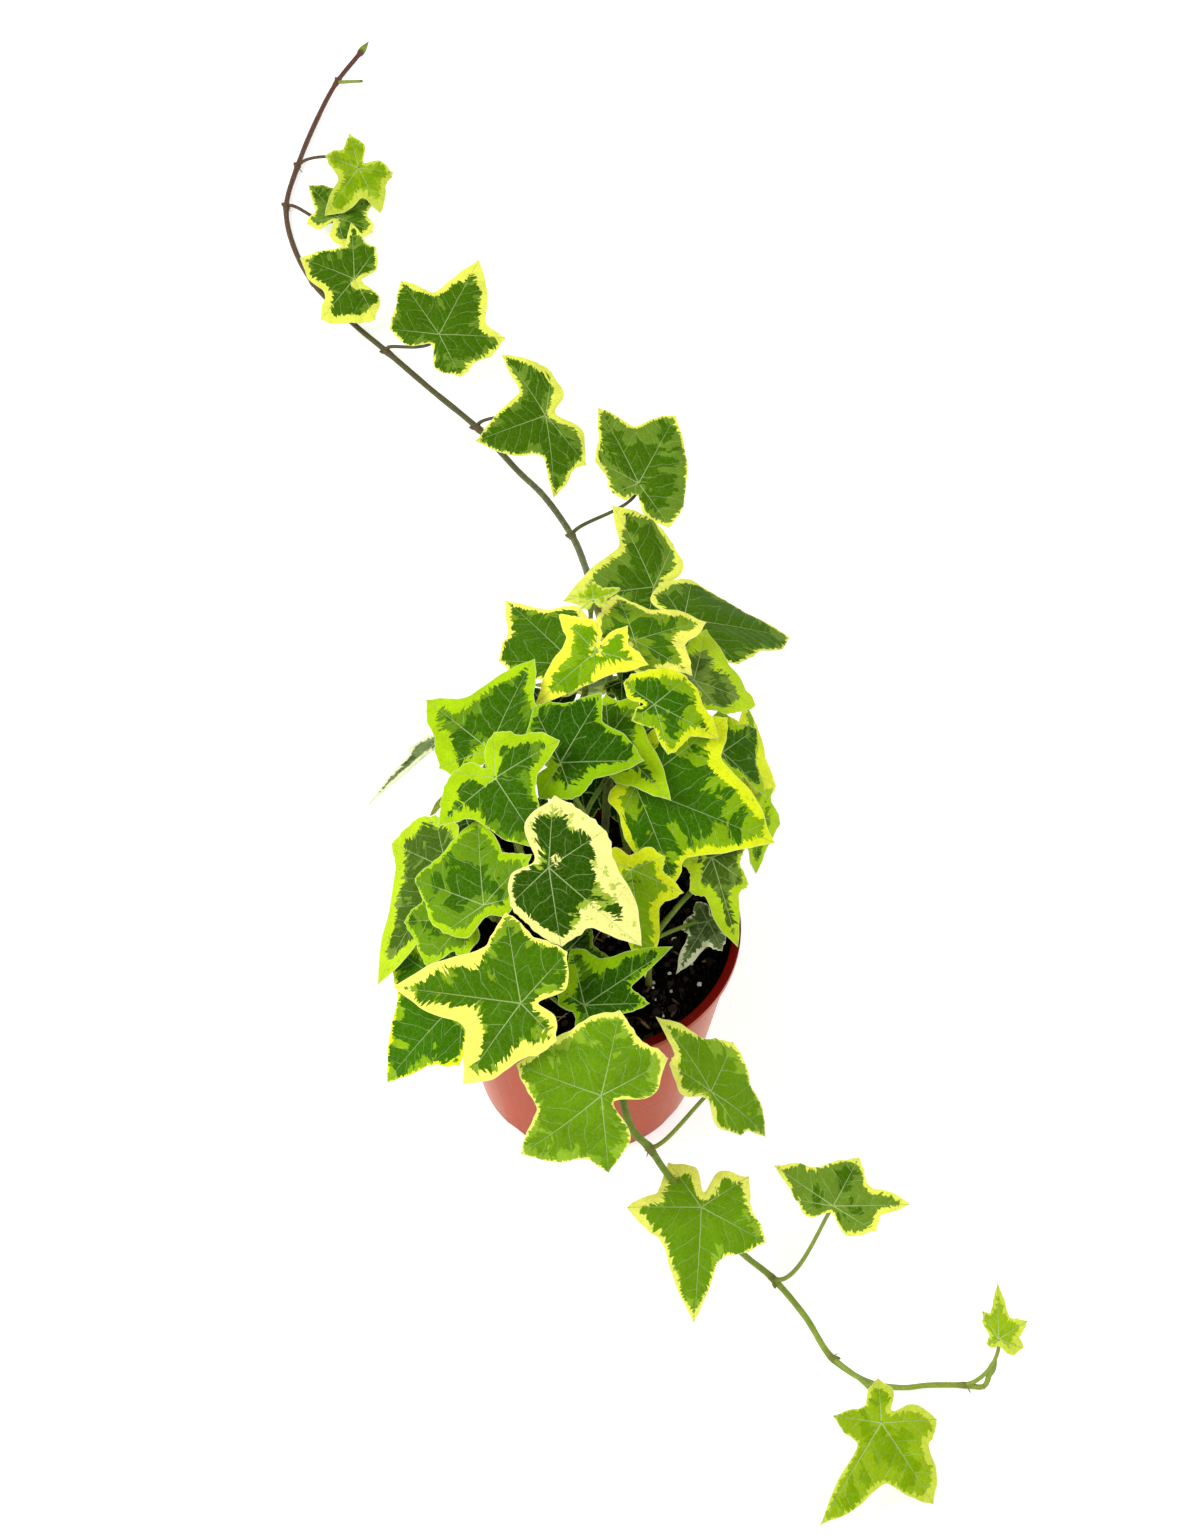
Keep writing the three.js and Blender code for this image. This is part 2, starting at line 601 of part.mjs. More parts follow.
function bladeFaces(ringCount, outlineCount, below) {
  const inner = (i) => 1 + (i % ringCount);
  const outer = (i) => 1 + ringCount + (i % outlineCount);
  const top = [];
  for (let i = 0; i < ringCount; i++) {
    top.push([0, inner(i), inner(i + 1)]);
    top.push([inner(i), outer(2 * i), outer(2 * i + 1)]);
    top.push([inner(i), outer(2 * i + 1), inner(i + 1)]);
    top.push([inner(i + 1), outer(2 * i + 1), outer(2 * i + 2)]);
  }
  const bottom = top.map(([a, b, c]) => [a + below, c + below, b + below]);
  const edge = [];
  for (let i = 0; i < outlineCount; i++) {
    const [a, b] = [outer(i), outer(i + 1)];
    edge.push([a, a + below, b + below], [a, b + below, b]);
  }
  return [...top, ...bottom, ...edge];
}

function leafSolids(shoot, leafSpec) {
  const axes = leafAxes(leafSpec.turn);
  return [petiole(shoot, leafSpec, axes), blade(leafSpec, axes)];
}

function leafyShoot(shoot) {
  const grown = shoot.leaves.flatMap((leafSpec) => leafSolids(shoot, leafSpec));
  const stubs = shoot.stubs.map((spec) => stub(shoot, spec));
  return meshOf(shoot.name, geometryFrom(joined([stem(shoot), ...grown, ...stubs])), "leaf");
}

// ---------------------------------------------------------------- the whole plant

const group = new THREE.Group();
group.name = "potted_ivy";
group.add(pot(), soil(), ...SHOOTS.map(leafyShoot));

export default group;
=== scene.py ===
"""A potted variegated ivy: pot, potting mix, leafy shoots and two runners.

Places and sizes are in millimetres, in the frame of the CAD model, and become metres when a
mesh is made. Every surface is a grid worked out with numpy, closed by a pole at each end.
"""

import bpy
import numpy as np
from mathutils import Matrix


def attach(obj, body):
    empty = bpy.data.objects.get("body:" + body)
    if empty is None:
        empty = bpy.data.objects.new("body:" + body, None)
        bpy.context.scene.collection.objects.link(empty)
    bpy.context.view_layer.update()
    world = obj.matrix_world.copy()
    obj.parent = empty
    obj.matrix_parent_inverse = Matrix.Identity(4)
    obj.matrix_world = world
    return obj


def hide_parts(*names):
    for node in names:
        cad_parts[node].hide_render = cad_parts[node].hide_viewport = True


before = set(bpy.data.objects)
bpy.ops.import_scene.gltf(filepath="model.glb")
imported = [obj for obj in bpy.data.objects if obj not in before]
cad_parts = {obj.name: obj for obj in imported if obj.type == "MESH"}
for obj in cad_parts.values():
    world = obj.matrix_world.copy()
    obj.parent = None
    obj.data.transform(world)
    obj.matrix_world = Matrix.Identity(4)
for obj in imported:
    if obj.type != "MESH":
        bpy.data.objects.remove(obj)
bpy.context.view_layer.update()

MM = 0.001


def leaf(start, at, turn, colouring, *lobes):
    """A leaf: the route point its stalk leaves from, its junction, its turn in degrees (heading,
    rise and roll), its colouring and its five lobes, from the left basal one to the right one.

    A colouring is a palette, the width of the pale margin in mm, the share of the inner part that
    is deep green and, in some, the side where the margin is widest, in degrees from the middle
    lobe. A lobe is an angle from the middle lobe and a reach and, in some, the angle and the reach
    of the bay after it.
    """
    return {"start": start, "at": at, "turn": turn, "colouring": colouring, "lobes": lobes}


def plain_leaf(start, at, turn, colouring, spread, *reaches):
    """A leaf of five reaches, with its basal lobes at the spread and its side lobes at 60."""
    return leaf(start, at, turn, colouring, *zip((spread, 60, 0, -60, -spread), reaches))


# Tone of the stem's skin at its foot and its tip and the power of the way between, then the tone
# of its stalks from the first to the last.
MOUND_TONES = ((0.02, 0.44, 1), (0.42, 0.3))


def leafy_shoot(name, radius, route, *leaves, tones=MOUND_TONES, runner=False, stubs=()):
    """A shoot: its radius at the foot and the tip, route, leaves and tones, whether it is a runner
    with buds and rootlets, and its bare stalks, each a route point and a tip."""
    return {
        "name": name,
        "radius": radius,
        "route": np.array(route, float),
        "leaves": leaves,
        "tones": tones,
        "runner": runner,
        "stubs": stubs,
    }


# The shoots, as in the CAD model.
SHOOTS = [
    leafy_shoot(
        "trail_back", (2, 1.5),
        [
            (6, 14, 77), (6, 15, 100), (8, 34, 128), (10, 66, 142), (8, 108, 134), (4, 160, 100),
            (-1, 215, 60), (-7, 250, 40), (-21, 291, 22), (-33, 314, 13), (-53, 348, 6),
            (-77, 377, 3), (-99, 402, 3), (-117, 422, 3), (-138, 450, 3), (-150, 478, 3),
            (-155, 505, 3), (-151, 536, 3), (-143, 572, 3), (-134, 600, 4), (-123, 620, 6),
        ],
        leaf(5, (40, 145, 108), (15, -25, 10), ("thin", 1.8, 0.7),
            (100, 22, 80, 27), (62, 32, 26, 38), (0, 54, -31, 34), (-60, 31), (-105, 25)),
        leaf(5, (28, 171, 98), (-155, 20, 20), ("thin", 2.4, 0.5),
            (125, 17), (60, 24), (0, 42, -66, 22), (-82, 40, -110, 35), (-132, 26)),
        leaf(7, (23, 271, 52), (115, 20, -5), ("thin", 1.5, 0.4),
            (95, 14, 62, 15), (42, 22, 18, 27), (0, 43, -22, 29), (-50, 41, -130, 23), (-168, 25)),
        leaf(10, (-20, 330, 34), (-145, 10, 35), ("thin", 2.0, 0.6),
            (108, 30, 96, 28), (73, 39, 62, 19), (0, 39, -63, 16), (-78, 35, -102, 26), (-123, 22)),
        leaf(12, (-72, 389, 28), (65, 20, -15), ("thin", 1.8, 0.8),
            (110, 24, 80, 25), (58, 33, 31, 21), (-2, 45, -54, 23), (-67, 32, -107, 22), (-130, 24)),
        leaf(14, (-115, 429, 26), (168, 22, 15), ("thin", 2.4, 0.8),
            (137, 23, 107, 23), (74, 28, 54, 17), (0, 28, -56, 17), (-68, 31, -87, 21), (-103, 21)),
        leaf(16, (-128, 491, 9), (40, 0, -5), ("thin", 1.8, 0.5),
            (160, 16), (84, 28), (0, 24, -26, 15), (-67, 21), (-115, 21)),
        leaf(17, (-117, 511, 24), (-125, -18, 24), ("spring", 2.2, 0.6),
            (120, 18, 94, 16), (60, 26, 45, 15), (0, 30, -24, 11), (-74, 18, -108, 12), (-132, 19)),
        plain_leaf(3, (14, 80, 149), (-30, -10, 0), ("shade", 1.0, 0.8), 118, 9, 11, 12, 11, 9),
        tones=((0.56, 1.0, 4), (0.5, 0.8)),
        runner=True,
        stubs=[(19, (-120, 595, 9))],
    ),
    leafy_shoot(
        "trail_front", (1.9, 1.2),
        [
            (8, -32, 77), (8, -33, 98), (9, -48, 112), (12, -70, 108), (17, -84, 90),
            (24, -86, 78), (31, -87, 60), (44, -91, 38), (61, -99, 18), (73, -104, 7),
            (85, -118, 3), (95, -136, 3), (109, -146, 3), (121, -148, 3), (131, -147, 3),
            (145, -147, 3), (152, -148, 4), (154, -145, 9),
        ],
        leaf(3, (6, -87, 118), (170, 20, 50), ("meadow", 1.0, 0.75),
            (117, 31, 100, 25), (61, 38, 31, 23), (0, 33, -45, 27), (-80, 33, -103, 25), (-130, 28)),
        leaf(5, (47, -70, 92), (66, 0, -40), ("meadow", 1.2, 0.7),
            (98, 21, 84, 21), (69, 34, 37, 20), (0, 24, -44, 21), (-83, 33, -94, 22), (-105, 21)),
        leaf(7, (44, -96, 50), (-93, -20, 9), ("meadow", 2.6, 0.9),
            (126, 22, 91, 19), (65, 28, 22, 20), (0, 43, -45, 20), (-86, 29, -105, 17), (-141, 21)),
        leaf(9, (95, -90, 40), (56, 30, -17), ("thin", 1.2, 0.3),
            (110, 15, 97, 18), (85, 27, 54, 16), (0, 21, -32, 15), (-60, 30, -72, 18), (-92, 19)),
        leaf(11, (110, -172, 24), (-123, -11, 11), ("spring", 1.6, 0.5),
            (126, 21, 98, 19), (65, 35, 34, 21), (0, 44, -14, 11), (-65, 18, -100, 8), (-146, 17)),
        leaf(15, (156, -139, 26), (91, 28, 15), ("spring", 1.4, 0.4),
            (110, 5), (30, 12, 14, 10), (0, 21, -30, 9), (-59, 13, -84, 8), (-111, 10)),
        tones=((0.5, 0.2, 1), (0.26, 0.22)),
        runner=True,
    ),
    leafy_shoot(
        "stem_front_left", (1.6, 1.1),
        [(-14, -24, 77), (-15, -25, 96), (-20, -36, 112), (-27, -46, 122), (-30, -52, 124)],
        leaf(3, (-23, -64, 144), (168, -5, 28), ("lemon", 2.8, 0.8),
            (143, 19, 98, 20), (62, 36, 29, 21), (0, 49, -46, 24), (-72, 34, -94, 24), (-125, 25)),
        leaf(4, (-45, -39, 111), (-156, -45, 10), ("acid", 2.6, 0.7),
            (104, 15), (46, 27, 20, 31), (0, 55, -34, 31), (-65, 37, -82, 26), (-113, 22)),
        plain_leaf(1, (-8, -22, 112), (-70, -10, 0), ("shade", 2.0, 0.6), 118, 15, 20, 25, 20, 12),
        leaf(2, (0, -56, 130), (34, 9, -20), ("forest", 2.4, 0.9),
            (115, 12), (69, 22, 35, 18), (0, 40, -12, 18), (-32, 24, -50, 13), (-109, 12)),
    ),
    leafy_shoot(
        "stem_left", (1.7, 1.1),
        [(-28, -6, 77), (-29, -6, 98), (-34, -8, 116), (-42, -8, 126), (-50, -4, 126)],
        leaf(2, (-37, -26, 151), (97, 18, 30), ("lime", 2.6, 0.3),
            (111, 19, 76, 26), (59, 33, 34, 28), (0, 34), (-57, 26, -68, 20), (-92, 15)),
        plain_leaf(2, (-59, 0, 106), (-175, -50, 0), ("shade", 2.0, 0.4), 118, 18, 28, 32, 20, 14),
        leaf(3, (-43, -23, 138), (162, -28, 30), ("lime", 3.0, 0.4),
            (85, 16), (42, 26, 16, 27), (0, 32), (-36, 27), (-65, 16)),
        leaf(4, (-52, 2, 134), (-134, -36, -19), ("grey_lime", 3.0, 0.7),
            (93, 24), (42, 33), (0, 53, -58, 26), (-76, 33, -96, 29), (-120, 24)),
    ),
    leafy_shoot(
        "stem_left_top", (1.7, 1.1),
        [(-20, 12, 77), (-21, 12, 104), (-27, 20, 132), (-36, 32, 146), (-45, 46, 148)],
        leaf(3, (-36, 40, 158), (69, 18, 20), ("lime", 3.6, 0.7),
            (119, 22, 90, 25), (67, 40, 46, 26), (0, 42, -24, 25), (-65, 23), (-125, 16)),
        leaf(2, (-33, 15, 174), (-57, -14, -28), ("lime", 3.6, 0.8),
            (149, 17, 117, 18), (85, 28, 54, 15), (0, 33, -66, 17), (-86, 28, -104, 22), (-134, 17)),
        leaf(4, (-55, 61, 138), (-149, -20, -28), ("grey_white", 2.0, 0.4),
            (124, 5), (40, 8), (0, 40), (-40, 18), (-124, 6)),
        plain_leaf(1, (-44, 30, 118), (170, -40, 0), ("shade", 2.0, 0.6), 118, 16, 20, 24, 18, 14),
    ),
    leafy_shoot(
        "stem_top", (1.7, 0.9),
        [(-4, 30, 77), (-4, 31, 104), (-3, 50, 134), (0, 74, 152), (2, 92, 160), (2, 101, 166)],
        leaf(3, (-4, 92, 144), (123, -10, 8), ("lemon", 2.2, 0.9),
            (115, 20), (42, 32, 17, 36), (0, 56, -13, 37), (-36, 33), (-98, 16)),
        leaf(3, (4, 78, 170), (-141, -14, 12), ("sun", 3.6, 0.7),
            (180, 16), (123, 21, 80, 11), (0, 31, -66, 12), (-88, 21, -108, 15), (-135, 12)),
        leaf(5, (3, 102, 172), (99, 30, 4), ("spring", 2.0, 0.2),
            (120, 6), (71, 9), (0, 8), (-75, 12), (-115, 6)),
    ),
    leafy_shoot(
        "stem_top_right", (1.7, 0.9),
        [(14, 28, 77), (16, 29, 104), (25, 44, 132), (34, 62, 144), (40, 78, 142)],
        leaf(3, (19, 90, 162), (35, -16, 3), ("lemon", 2.8, 0.4),
            (125, 17, 94, 20), (67, 29, 37, 23), (0, 37, -33, 19), (-70, 27, -88, 19), (-114, 25)),
        leaf(3, (26, 51, 172), (-7, -33, -24), ("acid", 2.0, 0.5),
            (172, 15, 128, 13), (60, 18, 23, 21), (0, 31, -14, 19), (-50, 20, -68, 9), (-123, 12)),
        leaf(2, (27, 68, 136), (95, 0, 0), ("shade", 1.5, 0.5),
            (118, 12), (55, 14), (0, 28), (-60, 26), (-118, 16)),
        leaf(4, (42, 79, 151), (80, -16, -16), ("grey_lime", 4.5, 0.5),
            (140, 15), (53, 20), (0, 38, -28, 23), (-93, 26, -116, 22), (-138, 20)),
        plain_leaf(1, (9, 63, 123), (-80, -30, 0), ("shade", 1.0, 0.8), 118, 20, 26, 26, 20, 16),
    ),
    leafy_shoot(
        "stem_centre", (1.7, 1),
        [(-3, -6, 77), (-4, -5, 104), (-4, 4, 130), (0, 18, 146), (8, 34, 148)],
        leaf(3, (-9, 25, 170), (-1, 6, -19), ("forest", 3.6, 0.9),
            (114, 25, 84, 23), (59, 31, 46, 22), (0, 31, -29, 14), (-73, 15, -101, 14), (-121, 16)),
        leaf(4, (9, 43, 162), (-48, -8, -10), ("lime", 3.0, 0.8),
            (143, 18), (104, 19, 61, 13), (0, 35, -17, 22), (-35, 19), (-97, 9)),
        plain_leaf(1, (6, 3, 113), (-20, -10, 0), ("shade", 1.0, 0.8), 118, 10, 12, 14, 12, 10),
        leaf(2, (-13, -21, 168), (-40, -14, -34), ("cream", 3.3, 0.95, 40),
            (127, 26, 99, 24), (73, 25, 46, 24), (0, 44, -14, 26), (-40, 29, -70, 22), (-96, 20)),
    ),
    leafy_shoot(
        "stem_right", (1.7, 1.1),
        [(24, 6, 77), (25, 8, 98), (28, 20, 116), (38, 38, 122), (50, 50, 118), (59, 54, 108)],
        leaf(2, (19, 27, 152), (-12, -19, -17), ("acid", 4.4, 0.5),
            (96, 21, 82, 30), (57, 49, 40, 36), (0, 58, -36, 32), (-50, 40, -72, 27), (-100, 14)),
        leaf(3, (53, 57, 134), (-16, -45, 1), ("lime", 3.6, 0.9),
            (115, 18), (60, 27), (0, 29), (-28, 14), (-93, 9)),
        leaf(4, (62, 62, 116), (29, -48, -31), ("acid", 7.0, 0.3),
            (108, 22), (76, 29), (0, 31), (-43, 23), (-105, 17)),
        leaf(5, (67, 47, 106), (-85, -51, 48), ("lime", 6.0, 0.2),
            (130, 14), (66, 20), (0, 24), (-58, 17), (-110, 12)),
    ),
    leafy_shoot(
        "stem_right_front", (1.8, 1.1),
        [(25, -24, 77), (24, -22, 98), (26, -14, 110), (34, -6, 118), (41, 2, 120)],
        leaf(4, (48, 10, 130), (-68, -38, 4), ("grey_lime", 2.4, 0.8),
            (91, 14), (37, 18, 22, 17), (0, 36, -28, 15), (-51, 16), (-101, 13)),
        leaf(2, (47, -3, 106), (-122, -12, 6), ("grey_white", 1.0, 0.8),
            (138, 10), (55, 13), (0, 24), (-45, 11), (-121, 9)),
        leaf(2, (17, -5, 144), (-79, -34, 5), ("acid", 4.6, 0.1),
            (100, 14), (57, 22), (0, 41), (-44, 20), (-120, 12)),
    ),
    leafy_shoot(
        "stem_back_left", (1.7, 1),
        [(-24, 30, 77), (-26, 32, 100), (-32, 44, 120), (-38, 58, 128), (-34, 72, 122)],
        plain_leaf(3, (-37, 64, 128), (145, -62, 0), ("lime", 3.0, 0.6), 120, 20, 30, 38, 30, 20),
        leaf(4, (-28, 92, 116), (116, -62, 0), ("lemon", 4.0, 0.5),
            (120, 20), (60, 30), (0, 38), (-58, 30), (-118, 20)),
        plain_leaf(2, (-48, 52, 102), (160, -66, 0), ("thin", 2.4, 0.6), 118, 16, 22, 32, 22, 16),
        leaf(4, (-48, 82, 88), (144, -68, 0), ("grey_lime", 4.0, 0.5),
            (115, 16), (60, 24), (0, 36), (-60, 24), (-118, 16)),
        plain_leaf(2, (-14, 74, 136), (60, 0, 0), ("shade", 1.0, 0.8), 118, 14, 16, 22, 14, 12),
        plain_leaf(1, (-20, 44, 111), (-50, -8, 0), ("shade", 1.0, 0.8), 118, 10, 12, 12, 12, 10),
    ),
    leafy_shoot(
        "stem_back", (1.7, 1),
        [(-8, 44, 77), (-8, 46, 98), (-10, 58, 114), (-10, 72, 118), (-6, 86, 112)],
        plain_leaf(3, (0, 102, 122), (90, -60, 0), ("lemon", 3.6, 0.7), 120, 18, 26, 40, 24, 18),
        plain_leaf(4, (-10, 90, 101), (96, -68, 0), ("lime", 3.0, 0.6), 120, 20, 30, 42, 30, 20),
        plain_leaf(4, (18, 84, 94), (62, -70, 0), ("cream", 4.0, 0.5), 115, 18, 28, 40, 28, 18),
        plain_leaf(1, (-2, 60, 105), (-80, -6, 0), ("shade", 1.0, 0.8), 118, 12, 14, 15, 14, 12),
    ),
    leafy_shoot(
        "stem_back_right", (1.7, 1),
        [(30, 26, 77), (33, 28, 98), (44, 46, 106), (52, 60, 110), (50, 72, 106)],
        plain_leaf(3, (38, 84, 120), (55, -60, 0), ("lime", 3.6, 0.7), 120, 18, 24, 34, 24, 18),
        plain_leaf(3, (63, 74, 98), (28, -66, 0), ("meadow", 3.0, 0.5), 120, 16, 22, 32, 22, 16),
        plain_leaf(4, (46, 80, 98), (50, -68, 0), ("lemon", 3.2, 0.6), 118, 18, 28, 38, 28, 18),
    ),
]

# Palettes of a leaf: screen colours of its pale margin, its mid green and its deep green, and how
# much of the margin is mottled with green.
PALETTES = {
    "lemon": ((252, 250, 104), (124, 160, 24), (68, 112, 2), 0.2),
    "sun": ((254, 252, 66), (134, 178, 16), (112, 160, 2), 0.2),
    "lime": ((168, 206, 20), (100, 142, 16), (56, 100, 1), 0.2),
    "forest": ((146, 190, 16), (80, 124, 8), (44, 88, 1), 0.2),
    "acid": ((228, 242, 34), (134, 176, 14), (58, 108, 1), 0.4),
    "grey_lime": ((186, 218, 34), (112, 140, 48), (72, 102, 22), 0.4),
    "grey_white": ((232, 236, 190), (112, 130, 80), (76, 96, 50), 0.3),
    "cream": ((246, 242, 142), (150, 178, 46), (44, 80, 2), 0.65),
    "thin": ((236, 242, 92), (108, 142, 38), (68, 108, 4), 0.1),
    "meadow": ((240, 244, 104), (140, 178, 40), (104, 148, 14), 0.1),
    "spring": ((200, 216, 70), (146, 178, 20), (124, 162, 4), 0.1),
    # Painted shade: darker greens for the leaves deep inside the mound.
    "shade": ((126, 158, 34), (54, 86, 12), (30, 58, 4), 0.2),
}

# ---------------------------------------------------------------- sizes

# The blade: its thickness in the middle and at the margin, the rows of its grid, how it droops,
# ripples and folds, its grooved veins, the puffed skin between them and its waved margin.
BLADE = 0.5
RIM_BLADE = 0.25
BLADE_ROWS = 14
EDGE_ROW = 0.985
DROOP = 0.1
RIPPLE = 0.05
RIPPLES = 3
FOLD = 0.1
VEIN_GROOVE = 0.22
VEIN_HALF_WIDTH = 0.8
PUFF = 1.1
PUFF_WIDTH = 5
MARGIN_WAVE = 0.5
SEED_STEP = 0.37

# Its outline: the steps of a half lobe, how far the sides of the lobes bulge as a share of their
# length, where a bay is open enough for that, and how deep and how rounded the bays are.
LOBE_STEPS = 18
BULGE = (0.03, 0.14)
BASAL_BULGE = (0.22, 0.32)
BULGE_SHARPNESS = 1.5
OPEN_BAY = 40
BASAL_BAY = 0.12
DEEPEST_BAY = 0.45
BAY_SPREAD = 250
BASAL_ROUNDING = 0.35
ROUNDINGS = 5
MARGIN_WANDER = 0.14

# The pale margin: how far it leans to one side and the turn of that side from leaf to leaf.
MARGIN_LEAN = 0.6
GOLDEN_ANGLE = 137.5

# Leaf stalks: the radius at both ends, the curve as shares of the span, and the swollen ends.
PETIOLE_RADIUS = 0.9
PETIOLE_TIP = 0.75
PETIOLE_STEP = 1.5
PETIOLE_LEAN = 0.35
PETIOLE_LIFT = 0.12
PETIOLE_HOOK = 0.25
PETIOLE_BOW = 0.7
FOOT_SWELLING = 0.25
HEAD_SWELLING = 0.12
STUB_RADIUS = 0.95
STUB_TONE = 0.24

# Stems: the share of the first stretch that is straight, the grid, the skin and the knots as
# shares of the radius, the bud at the tip and the rootlets.
STRAIGHT = 0.8
STEM_STEP = 1.6
STEM_SIDES = 12
INTERNODE = 0.86
SWELLING = 0.24
SKIN_BUMPS = 0.05
KNOT_REACH = 2.4
TIP_BUD_REACH = 7
TIP_TONE = 0.2
ROOTLET_REACH = (1.6, 3.4)
ROOTLET_RADIUS = 0.38

# The pot.
POT_HEIGHT = 100
RIM_RADIUS = 60
BASE_RADIUS = 44
WALL = 1.6
LIP_WIDTH = 3.4
LIP_DEPTH = 4
LIP_INSIDE = RIM_RADIUS - LIP_WIDTH
UNDER_LIP = POT_HEIGHT - LIP_DEPTH
FLOOR = 3
DRAIN_RADIUS = 4
DRAIN_CIRCLE = 27
DRAIN_COUNT = 4
DRAIN_TURN = 50
GROOVE_WIDTH = 9
GROOVE_HEIGHT = 2.2

# The potting mix: its swell, as in the CAD model, and its lumps as heights, sizes and seeds.
SOIL_TOP = 92
SOIL_RELIEF = 1.2
SOIL_WAVE_X = 0.13
SOIL_WAVE_Y = 0.11
SOIL_SWELL = 0.05
SOIL_LUMPS = ((0.9, 7, 1), (0.6, 3, 2), (0.35, 1.4, 3))
MIX_REACH = 53
GAP = 0.3

# All pieces: columns of a turned surface, the angle from which an edge is sharp, and the cells of
# the random lattice behind the noise.
TURNED_COLUMNS = 240
SHARP = 50
LATTICE = 64


# ---------------------------------------------------------------- surfaces


class Surface:
    """Vertices in mm, faces as one list of corners with a size each, and values for the shader."""

    def __init__(self, verts, corners, sizes, points=None, at_corners=None):
        self.verts = verts
        self.corners = corners
        self.sizes = sizes
        self.points = points or {}
        self.at_corners = at_corners or {}

    @staticmethod
    def joined(parts):
        """Several surfaces as one, with the corners of each counted on from the one before."""
        starts = np.cumsum([0] + [len(p.verts) for p in parts[:-1]])
        first = parts[0]
        return Surface(
            np.concatenate([p.verts for p in parts]),
            np.concatenate([p.corners + start for p, start in zip(parts, starts)]),
            np.concatenate([p.sizes for p in parts]),
            {key: np.concatenate([p.points[key] for p in parts]) for key in first.points},
            {key: np.concatenate([p.at_corners[key] for p in parts]) for key in first.at_corners},
        )


def per_vertex(values):
    """Values on a grid of rows and columns as one value for each vertex of the closed surface."""
    body = values[1:-1].reshape(-1, *values.shape[2:])
    return np.concatenate([values[0, :1], body, values[-1, :1]])


def closed(grid, **points):
    """A closed surface over a grid whose columns run round and whose end rows are poles.

    Quads join each row to the next, and a fan of triangles joins the rows beside the poles to
    them. Returns the surface and the column of every corner's face.
    """
    rows, columns = grid.shape[:2]
    ring = 1 + np.arange((rows - 2) * columns).reshape(rows - 2, columns)
    onward = np.roll(ring, -1, axis=1)
    quads = np.stack([ring[:-1], ring[1:], onward[1:], onward[:-1]], axis=-1).reshape(-1, 4)
    first = np.stack([np.zeros(columns, int), ring[0], onward[0]], axis=-1)
    pole = np.full(columns, 1 + (rows - 2) * columns)
    last = np.stack([ring[-1], pole, onward[-1]], axis=-1)
    corners = np.concatenate([quads.ravel(), first.ravel(), last.ravel()])
    sizes = np.concatenate([np.full(len(quads), 4), np.full(2 * columns, 3)])
    around = np.arange(columns)
    face_columns = np.concatenate([np.tile(around, rows - 3), around, around])
    kept = {name: per_vertex(values) for name, values in points.items()}
    surface = Surface(per_vertex(grid), corners, sizes, kept)
    return surface, np.repeat(face_columns, sizes)


def put(name, surface, material, slot, *nodes):
    """One piece of the plant: its mesh in metres, riding on the root and standing for CAD nodes."""
    mesh = bpy.data.meshes.new(name)
    starts = np.cumsum(surface.sizes) - surface.sizes
    mesh.vertices.add(len(surface.verts))
    mesh.vertices.foreach_set("co", (surface.verts * MM).astype(np.float32).ravel())
    mesh.loops.add(len(surface.corners))
    mesh.loops.foreach_set("vertex_index", surface.corners.astype(np.int32))
    mesh.polygons.add(len(surface.sizes))
    mesh.polygons.foreach_set("loop_start", starts.astype(np.int32))
    mesh.update(calc_edges=True)
    kinds = {1: ("FLOAT", "value"), 3: ("FLOAT_VECTOR", "vector")}
    for domain, values in (("POINT", surface.points), ("CORNER", surface.at_corners)):
        for key, value in values.items():
            kind, field = kinds[value[0].size]
            layer = mesh.attributes.new(key, kind, domain)
            layer.data.foreach_set(field, value.astype(np.float32).ravel())
    mesh.set_sharp_from_angle(angle=np.radians(SHARP))
    mesh.materials.append(material)
    piece = bpy.data.objects.new(name, mesh)
    bpy.context.scene.collection.objects.link(piece)
    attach(piece, "root")
    if nodes:
        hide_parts(*nodes)


def noise(x, y, size, seed):
    """Smooth random heights from -1 to 1: a lattice of random values, blended between by an
    S-shaped step in x and y."""
    lattice = np.random.default_rng(seed).uniform(-1, 1, (LATTICE, LATTICE))
    u, v = x / size + 31.7, y / size + 17.3
    i, j = np.floor(u).astype(int), np.floor(v).astype(int)
    a, b = smooth_step(0, 1, u - i), smooth_step(0, 1, v - j)
    left, near, right, far = (k % LATTICE for k in (i, j, i + 1, j + 1))
    low = lattice[left, near] * (1 - a) + lattice[right, near] * a
    high = lattice[left, far] * (1 - a) + lattice[right, far] * a
    return low * (1 - b) + high * b


def smooth_step(low, high, value):
    """0 below low, 1 above high and an S-shaped rise between."""
    t = np.clip((value - low) / (high - low), 0, 1)
    return t * t * (3 - 2 * t)


def unit(vector):
    """The vectors with length 1."""
    return vector / np.linalg.norm(vector, axis=-1, keepdims=True)


# ---------------------------------------------------------------- stems and petioles


def resampled(path, count):
    """A path at equal steps along its length, by linear interpolation of its dense points."""
    run = np.concatenate([[0], np.cumsum(np.linalg.norm(np.diff(path, axis=0), axis=1))])
    at = np.linspace(0, run[-1], count)
    return np.stack([np.interp(at, run, path[:, k]) for k in range(3)], axis=-1)


